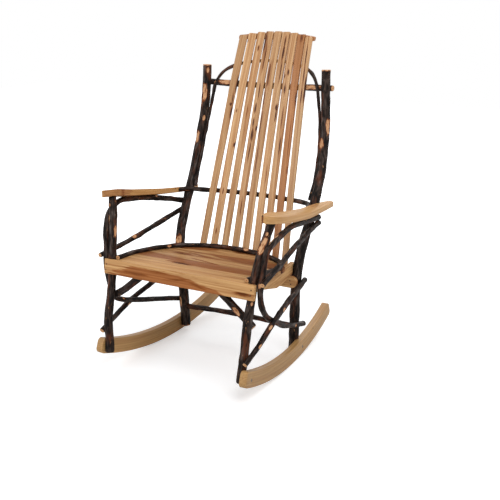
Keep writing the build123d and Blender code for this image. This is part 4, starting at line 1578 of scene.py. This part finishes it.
@dataclass
class Studio:
    """Pale floor, white surroundings and soft light.

    Attributes:
        floor_size: Length of the floor's sides in metres.
        floor_cells: Squares along each side.
        floor_drop: How far it lies under the rockers in metres.
        floor_tone: Its colour.
        clear: Distances from the middle between which it turns plain white, in metres.
        lift: Share of white that the camera sees even in a shadow.
        world_light: Brightness of the surroundings to all but the camera and gloss.
        lamps: The lamps.
    """

    floor_size: float = 14.0
    floor_cells: int = 8
    floor_drop: float = 0.0004
    floor_tone: Colour = (0.80, 0.82, 0.84, 1.0)
    clear: tuple[float, float] = (0.5, 1.2)
    lift: float = 0.42
    world_light: float = 0.62
    lamps: tuple[Lamp, ...] = (
        Lamp("key", (1.9, -1.6, 3.4), (2.4, 2.4), 62.0),
        Lamp("fill", (-2.6, -2.4, 1.9), (2.2, 2.2), 30.0),
        Lamp("back", (-0.6, 2.8, 3.0), (2.6, 1.6), 34.0),
    )

    def floor(self) -> None:
        """A plain floor that shows white, and darker where the chair shades it."""
        half, cells = self.floor_size / 2, self.floor_cells
        side = np.linspace(-half, half, cells + 1)
        across, back = np.meshgrid(side, side, indexing="ij")
        points = np.stack([across, back, np.full_like(across, -self.floor_drop)], -1).reshape(-1, 3)
        row, column = np.meshgrid(np.arange(cells), np.arange(cells), indexing="ij")
        corner = row * (cells + 1) + column
        faces = np.stack([corner, corner + cells + 1, corner + cells + 2, corner + 1], -1).reshape(-1, 4)
        mesh = bpy.data.meshes.new("floor")
        mesh.from_pydata(points.tolist(), [], faces.tolist())
        shader = Shader(bpy.data.materials.new("floor"))
        sight = shader.node("ShaderNodeLightPath", output="Is Camera Ray")
        away = shader.reach(shader.node("ShaderNodeTexCoord", output="Object"))
        glow = shader.blend(sight * (away.step(*self.clear) * 0.5 + self.lift), BLACK, WHITE)
        inputs = {"Base Color": self.floor_tone, "Roughness": 1.0, "Specular IOR Level": 0.0,
                  "Emission Color": glow, "Emission Strength": 1.0}
        shader.show(shader.node("ShaderNodeBsdfPrincipled", None, inputs), "ShaderNodeOutputMaterial")
        mesh.materials.append(shader.owner)
        floor = bpy.data.objects.new("floor", mesh)
        bpy.context.scene.collection.objects.link(floor)
        floor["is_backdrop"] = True

    def world(self) -> None:
        """White to the camera and to gloss, and a plain soft light to everything else."""
        shader = Shader(bpy.data.worlds.new("studio"))
        dim, bright = (shader.node("ShaderNodeBackground", None, {"Color": WHITE, "Strength": strength})
                       for strength in (self.world_light, 1.0))
        camera, gloss, glass = (shader.node("ShaderNodeLightPath", output=f"Is {kind} Ray")
                                for kind in ("Camera", "Glossy", "Transmission"))
        seen = camera.larger(gloss.larger(glass))
        shader.show(shader.node("ShaderNodeMixShader", None, {0: seen, 1: dim, 2: bright}),
                    "ShaderNodeOutputWorld")
        bpy.context.scene.world = shader.owner

    def build(self, target: np.ndarray) -> None:
        """Builds the floor, the surroundings and the lamps.

        Args:
            target: The middle of the chair.
        """
        self.floor()
        self.world()
        for lamp in self.lamps:
            lamp.build(target)
        bpy.context.scene.view_settings.view_transform = "Standard"


# ---------------------------------------------------------------- sub-assemblies
@dataclass
class SlatBack:
    """The fanned slats with their crest and bottom rails.

    Attributes:
        timber: Finish of its wood.
    """

    timber: Timber = Timber()

    def slats(self) -> list[tuple[Cut, tuple[Mark, ...]]]:
        """Each slat's cut and marks, from left to right."""
        return [
            (Cut((0.05, -0.08), 0.012, 0.02, 1.0, 0.98, 0.6, 0.3), (
                Mark((236.9, 84.0), 0.033, 0.0032), Mark((232.9, 98.0), 0.026, 0.003, 0.9, slant=-0.12),
                Mark((231.0, 104.0), 0.008, 0.006, 1.0), Mark((231.2, 112.0), 0.026, 0.004, 1.0))),
            (Cut((-0.04, -0.09), 0.008, 0.02, 4.0, 1.02, 0.3, 0.25), (
                Mark((234.4, 144.6), 0.010, 0.006, 1.0), Mark((236.6, 110.4), 0.008, 0.0032, 0.8),
                Mark((248.1, 40.8), 0.007, 0.003, 0.8), Mark((223.0, 191.0), 0.012, 0.003, 0.7),
                Mark((216.3, 231.0), 0.016, 0.003, 0.6))),
            (Cut((0.03, -0.085), 0.01, 0.02, 9.0, 0.99, 0.3, 0.7), (
                Mark((258.2, 48.0), 0.012, 0.0034, 0.8), Mark((247.0, 111.0), 0.03, 0.003, 0.5))),
            (Cut((-0.02, -0.07), 0.01, 0.03, 14.0, 0.96, 0.8, 0.7), (
                Mark((265.3, 42.0), 0.044, 0.008, 1.0), Mark((264.6, 58.0), 0.06, 0.0038, 0.8),
                Mark((259.2, 90.0), 0.04, 0.003, 0.85), Mark((255.5, 108.0), 0.02, 0.0044, 1.0),
                Mark((253.2, 122.5), 0.018, 0.004, 1.0), Mark((256.0, 128.5), 0.010, 0.0044, 1.0),
                Mark((252.2, 134.5), 0.026, 0.006, 1.0), Mark((249.3, 151.0), 0.036, 0.0036, 0.9),
                Mark((241.0, 208.0), 0.04, 0.003, 0.6))),
            (Cut((0.03, -0.06), 0.014, 0.03, 21.0, 0.98, 0.6, 0.6), (
                Mark((268.6, 76.0), 0.055, 0.005, 0.7), Mark((264.2, 98.0), 0.05, 0.004, 0.75),
                Mark((260.6, 124.0), 0.06, 0.0036, 0.8), Mark((256.6, 158.0), 0.08, 0.0036, 0.6))),
            (Cut((-0.04, -0.08), 0.01, 0.02, 27.0, 1.0, 0.5, 0.4), (
                Mark((285.2, 41.5), 0.026, 0.0038, 1.0), Mark((283.2, 53.0), 0.034, 0.005, 1.0),
                Mark((280.9, 70.0), 0.05, 0.0034, 0.85), Mark((276.2, 107.5), 0.014, 0.0058, 1.0),
                Mark((275.4, 116.0), 0.024, 0.0034, 0.9), Mark((266.0, 176.0), 0.05, 0.003, 0.5))),
            (Cut((0.05, -0.075), 0.012, 0.02, 33.0, 0.97, 0.6, 0.6), (
                Mark((288.2, 72.5), 0.012, 0.0048, 1.0), Mark((284.6, 76.0), 0.010, 0.0034, 0.9),
                Mark((284.5, 89.0), 0.020, 0.0056, 1.0), Mark((279.6, 146.0), 0.04, 0.0036, 0.95),
                Mark((282.0, 118.0), 0.05, 0.003, 0.7))),
            (Cut((0.01, -0.05), 0.012, 0.09, 39.0, 1.08, 0.7, 0.4), (
                Mark((301.6, 38.0), 0.018, 0.008, 0.8), Mark((295.4, 99.0), 0.03, 0.003, 0.85),
                Mark((289.0, 140.0), 0.09, 0.0034, 0.6), Mark((286.5, 170.0), 0.02, 0.005, 0.5))),
            (Cut((0.04, -0.08), 0.01, 0.02, 46.0, 0.97, 0.6, 0.5), (
                Mark((306.2, 56.0), 0.045, 0.003, 0.95), Mark((303.6, 77.0), 0.04, 0.003, 0.9),
                Mark((301.2, 95.0), 0.03, 0.003, 0.9), Mark((303.2, 118.0), 0.055, 0.0034, 1.0))),
        ]

    def build(self, view: View) -> None:
        """Builds the nine slats and the two boards across them.

        Args:
            view: The camera, for marks given in the picture frame.
        """
        for number, (cut, marks) in enumerate(self.slats(), 1):
            slat = Board(f"back_slat_{number}", "slat_wood", Fibres.UPWARDS, cut, 0.0016, 4, marks)
            slat.build(self.timber, view)
        crest = Cut((0.01, 0.03), heart=0.07, seed=61.0, shade=1.0, figure=0.8)
        Board("crest_rail", "slat_wood", Fibres.SIDEWAYS_UPRIGHT, crest, 0.0014, 2).build(self.timber, view)
        rail = Cut((0.04, -0.05), heart=0.04, seed=67.0)
        Board("back_bottom_rail", "board_wood", Fibres.SIDEWAYS_UPRIGHT, rail, 0.0016, 2).build(
            self.timber, view)


@dataclass
class Seat:
    """Seat boards, the front apron and the rails under them.

    Attributes:
        timber: Finish of its wood.
    """

    timber: Timber = Timber(sap=paint(226, 182, 126), heart_early=paint(176, 114, 66),
                            heart_late=paint(126, 70, 36), coat=0.0, shine=0.06)

    def boards(self) -> list[tuple[Cut, tuple[Mark, ...]]]:
        """Each seat board's cut and marks, from the front to the rear."""
        return [
            (Cut((0.06, -0.045), 0.01, 0.055, 2.0, 0.95, 0.7, 0.6), ()),
            (Cut((0.015, -0.03), 0.02, 0.056, 8.0, 0.86, 0.9, 0.8), (
                Mark((180.0, 263.5), 0.05, 0.024, 0.9),
                Mark((215.0, 268.5), 0.20, 0.018, 1.0, Tone.HEART))),
            (Cut((-0.03, -0.04), -0.04, 0.045, 15.0, 0.9, 0.9, 0.7), (
                Mark((160.0, 257.0), 0.12, 0.016, 0.9, Tone.HEART),
                Mark((205.0, 261.5), 0.08, 0.008, 1.0, Tone.HEART, -0.3))),
            (Cut((0.01, -0.035), 0.11, 0.042, 24.0, 0.9, 1.0, 1.0), (
                Mark((182.0, 254.5), 0.05, 0.020, 0.8, slant=-0.3),
                Mark((192.0, 256.0), 0.06, 0.008, 1.0, Tone.HEART, -0.5),
                Mark((205.0, 256.5), 0.09, 0.008, 1.0, Tone.HEART, -0.25),
                Mark((236.0, 256.0), 0.08, 0.020, 1.0, slant=-0.1))),
            (Cut((0.0, -0.04), -0.12, 0.04, 30.0, 0.94, 0.9, 1.0), (
                Mark((243.0, 252.5), 0.07, 0.018, 1.0), Mark((180.0, 249.0), 0.05, 0.014, 0.8, slant=-0.2),
                Mark((172.0, 250.0), 0.05, 0.008, 1.0, Tone.HEART, -0.5),
                Mark((182.0, 250.5), 0.07, 0.008, 1.0, Tone.HEART, -0.3),
                Mark((266.0, 256.0), 0.07, 0.018, 0.9, Tone.HEART))),
        ]

    def build(self, view: View) -> None:
        """Builds every board of the seat.

        Args:
            view: The camera, for marks given in the picture frame.
        """
        for number, (cut, marks) in enumerate(self.boards(), 1):
            board = Board(f"seat_board_{number}", "board_wood", Fibres.SIDEWAYS, cut, 0.0012, 0, marks)
            board.build(self.timber, view)
        apron = Cut((0.07, 0.03), 0.012, 0.03, 5.0, 1.0, 0.3)
        marks = (
            Mark((146.0, 279.0), 0.16, 0.036, 1.0, Tone.HEART),
            Mark((170.0, 283.0), 0.13, 0.036, 1.0, Tone.HEART),
            Mark((200.0, 290.5), 0.08, 0.020, 1.0, Tone.HEART), Mark((136.0, 274.0), 0.06, 0.007, 0.6),
            Mark((160.0, 273.0), 0.06, 0.006, 0.5), Mark((176.0, 280.0), 0.05, 0.006, 0.6, slant=0.15),
            Mark((197.0, 286.0), 0.04, 0.006, 0.6, slant=-0.2), Mark((243.0, 294.5), 0.04, 0.006, 0.8))
        Board("seat_front_apron", "board_wood", Fibres.SIDEWAYS_UPRIGHT, apron, 0.0008, 0, marks).build(
            self.timber, view)
        rear = Cut((0.0, 0.04), heart=0.05, seed=23.0, shade=0.95)
        Board("seat_rear_rail", "board_wood", Fibres.SIDEWAYS_UPRIGHT, rear).build(self.timber, view)
        for side, seed in (("left", 31.0), ("right", 37.0)):
            cut = Cut((0.05, 0.06), heart=0.02, seed=seed)
            Board("seat_side_rail_" + side, "board_wood", Fibres.BACKWARDS_UPRIGHT, cut).build(
                self.timber, view)


@dataclass
class Base:
    """Rockers with their screws.

    Attributes:
        timber: Finish of the rockers.
        steel: Finish of the screws.
    """

    timber: Timber = Timber(sap=paint(200, 158, 104), sap_late=paint(168, 126, 76))
    steel: Metal = Metal(paint(120, 108, 96), paint(66, 54, 44), 0.7)

    def build(self, view: View) -> None:
        """Builds the rockers and dresses the screws.

        Args:
            view: The camera, for marks given in the picture frame.
        """
        for side, seed, shade in (("left", 3.0, 0.95), ("right", 13.0, 0.9)):
            cut = Cut((-0.06, 0.05), 0.03, 0.01, seed, shade, 0.3, 0.25)
            Board("rocker_" + side, "rocker_wood", Fibres.BACKWARDS_UPRIGHT, cut, 0.002, 2).build(
                self.timber, view)
        steel = self.steel.material("screw_steel")
        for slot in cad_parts["rocker_screws"].material_slots:
            slot.material = steel
        log.info("rocker_screws: the CAD shape in steel")


@dataclass
class Arms:
    """The two bent arm boards.

    Attributes:
        timber: Finish of the arms.
    """

    timber: Timber = Timber(sap=paint(214, 168, 108), sap_late=paint(190, 138, 80))

    def build(self, view: View) -> None:
        """Builds the arms.

        Args:
            view: The camera, for marks given in the picture frame.
        """
        left = (Mark((114, 192), 0.1, 0.02, 0.7, Tone.HEART), Mark((124, 187), 0.012, 0.003, 0.4))
        right = (Mark((313.3, 205), 0.035, 0.014, 0.55, Tone.HEART), Mark((262.5, 216), 0.004, 0.003, 0.7))
        for side, cut, marks in (("left", Cut((0.03, -0.05), 0.02, 0.045, 19.0, 1.0, 0.4, 0.7), left),
                                 ("right", Cut((0.06, -0.06), 0.02, 0.01, 29.0, 1.02, 0.15, 0.2), right)):
            Board("arm_" + side, "board_wood", Fibres.BACKWARDS, cut, 0.006, 3, marks).build(
                self.timber, view)


@dataclass
class Poles:
    """Every stick with its bark on, and the shaved places that show.

    Attributes:
        bark: Finish of the sticks.
        sawn: Finish of their ends.
    """

    bark: Bark = Bark()
    sawn: SawnEnd = SawnEnd()

    def sticks(self) -> list[Stick]:
        """The sticks, with the shaved places that show on each."""
        return [
            Stick("front_post_right", 1, 60, (
                Patch((261, 249), 0.04, 0.018), Patch((264.5, 242), 0.03, 0.014),
                Patch((267, 234), 0.014, 0.008), Patch((252, 303), 0.012, 0.010)), furrow=0.0006),
            Stick("front_post_left", 2, 60, (
                Patch((109, 219), 0.03, 0.008), Patch((115.2, 232), 0.04, 0.010),
                Patch((110, 205), 0.012, 0.006), Patch((112, 262), 0.02, 0.006)), furrow=0.0006),
            Stick("rear_post_right", 3, 64, (
                Patch((328.2, 127), 0.055, 0.022), Patch((321, 144), 0.045, 0.02)),
                furrow=0.0007, thick=0.002, chipped=True),
            Stick("rear_post_left", 4, 64, (
                Patch((204.6, 92), 0.065, 0.018), Patch((202, 102), 0.03, 0.012),
                Patch((208, 70), 0.02, 0.01), Patch((204, 118), 0.02, 0.008),
                Patch((197, 137), 0.05, 0.022), Patch((179, 241), 0.045, 0.022),
                Patch((181, 300), 0.04, 0.012)), furrow=0.0007, thick=0.002, chipped=True),
            Stick("side_hoop_right", 5, 40, (
                Patch((268, 229), 0.03, 0.012), Patch((267, 240), 0.05, 0.007),
                Patch((260, 286), 0.015, 0.01), Patch((294, 326), 0.016, 0.012)), knots=6),
            Stick("side_hoop_left", 6, 40, (
                Patch((155, 196), 0.014, 0.008), Patch((122, 298), 0.016, 0.01)), knots=6),
            Stick("upper_side_brace_right", 7, 36, (Patch((307, 214), 0.02, 0.012),)),
            Stick("upper_side_brace_left", 8, 36, (Patch((133, 237), 0.022, 0.016),)),
            Stick("lower_side_brace_right", 9, 36, (
                Patch((283.5, 311), 0.026, 0.012), Patch((270, 328.5), 0.02, 0.009),
                Patch((260, 347), 0.02, 0.009))),
            Stick("lower_side_brace_left", 10, 36, (Patch((131, 306), 0.02, 0.01),)),
            Stick("front_corner_brace_right", 11, 48, (
                Patch((236, 311), 0.03, 0.014), Patch((238, 314), 0.02, 0.012)), knots=2),
            Stick("front_corner_brace_left", 12, 48, knots=2),
            Stick("rear_stretcher", 13, 36),
            Stick("back_top_rail", 14, 40, (
                Patch((227, 82), 0.055, 0.016), Patch((312, 87), 0.085, 0.016)),
                thick=0.0022, chipped=True),
            Stick("back_middle_rail", 15, 36, knots=3),
            Stick("back_arch", 16, 26, (Patch((214.5, 82), 0.012, 0.006),),
                  knots=8, furrow=0.0003, thick=0.0013, hidden=4),
            Stick("seat_hoop", 17, 36, (
                Patch((247, 249.5), 0.022, 0.012), Patch((168, 246), 0.016, 0.008)), knots=5),
        ]

    def build(self, view: View) -> None:
        """Builds every stick.

        Args:
            view: The camera, for shaved places given in the picture frame.
        """
        end = self.sawn.material()
        for stick in self.sticks():
            skin = self.bark.material(stick.node + "_bark", 2.7 * stick.seed)
            stick.surface(view).piece(stick.node + "_bark", "bark_pole", [skin, end], stick.node)


def main() -> None:
    """Builds the camera, the studio and every sub-assembly of the chair in order."""
    logging.basicConfig(level=logging.INFO, format="%(name)s: %(message)s")
    view = View(np.array([1.5232, -2.5800, 1.3178]))
    view.build()
    Studio().build((BOX_LOW + BOX_HIGH) / 2)
    Poles().build(view)
    Base().build(view)
    Seat().build(view)
    Arms().build(view)
    SlatBack().build(view)
    Nails().build(view)
    log.info("chair built from %d CAD nodes", len(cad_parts))


if __name__ == "__main__":
    main()
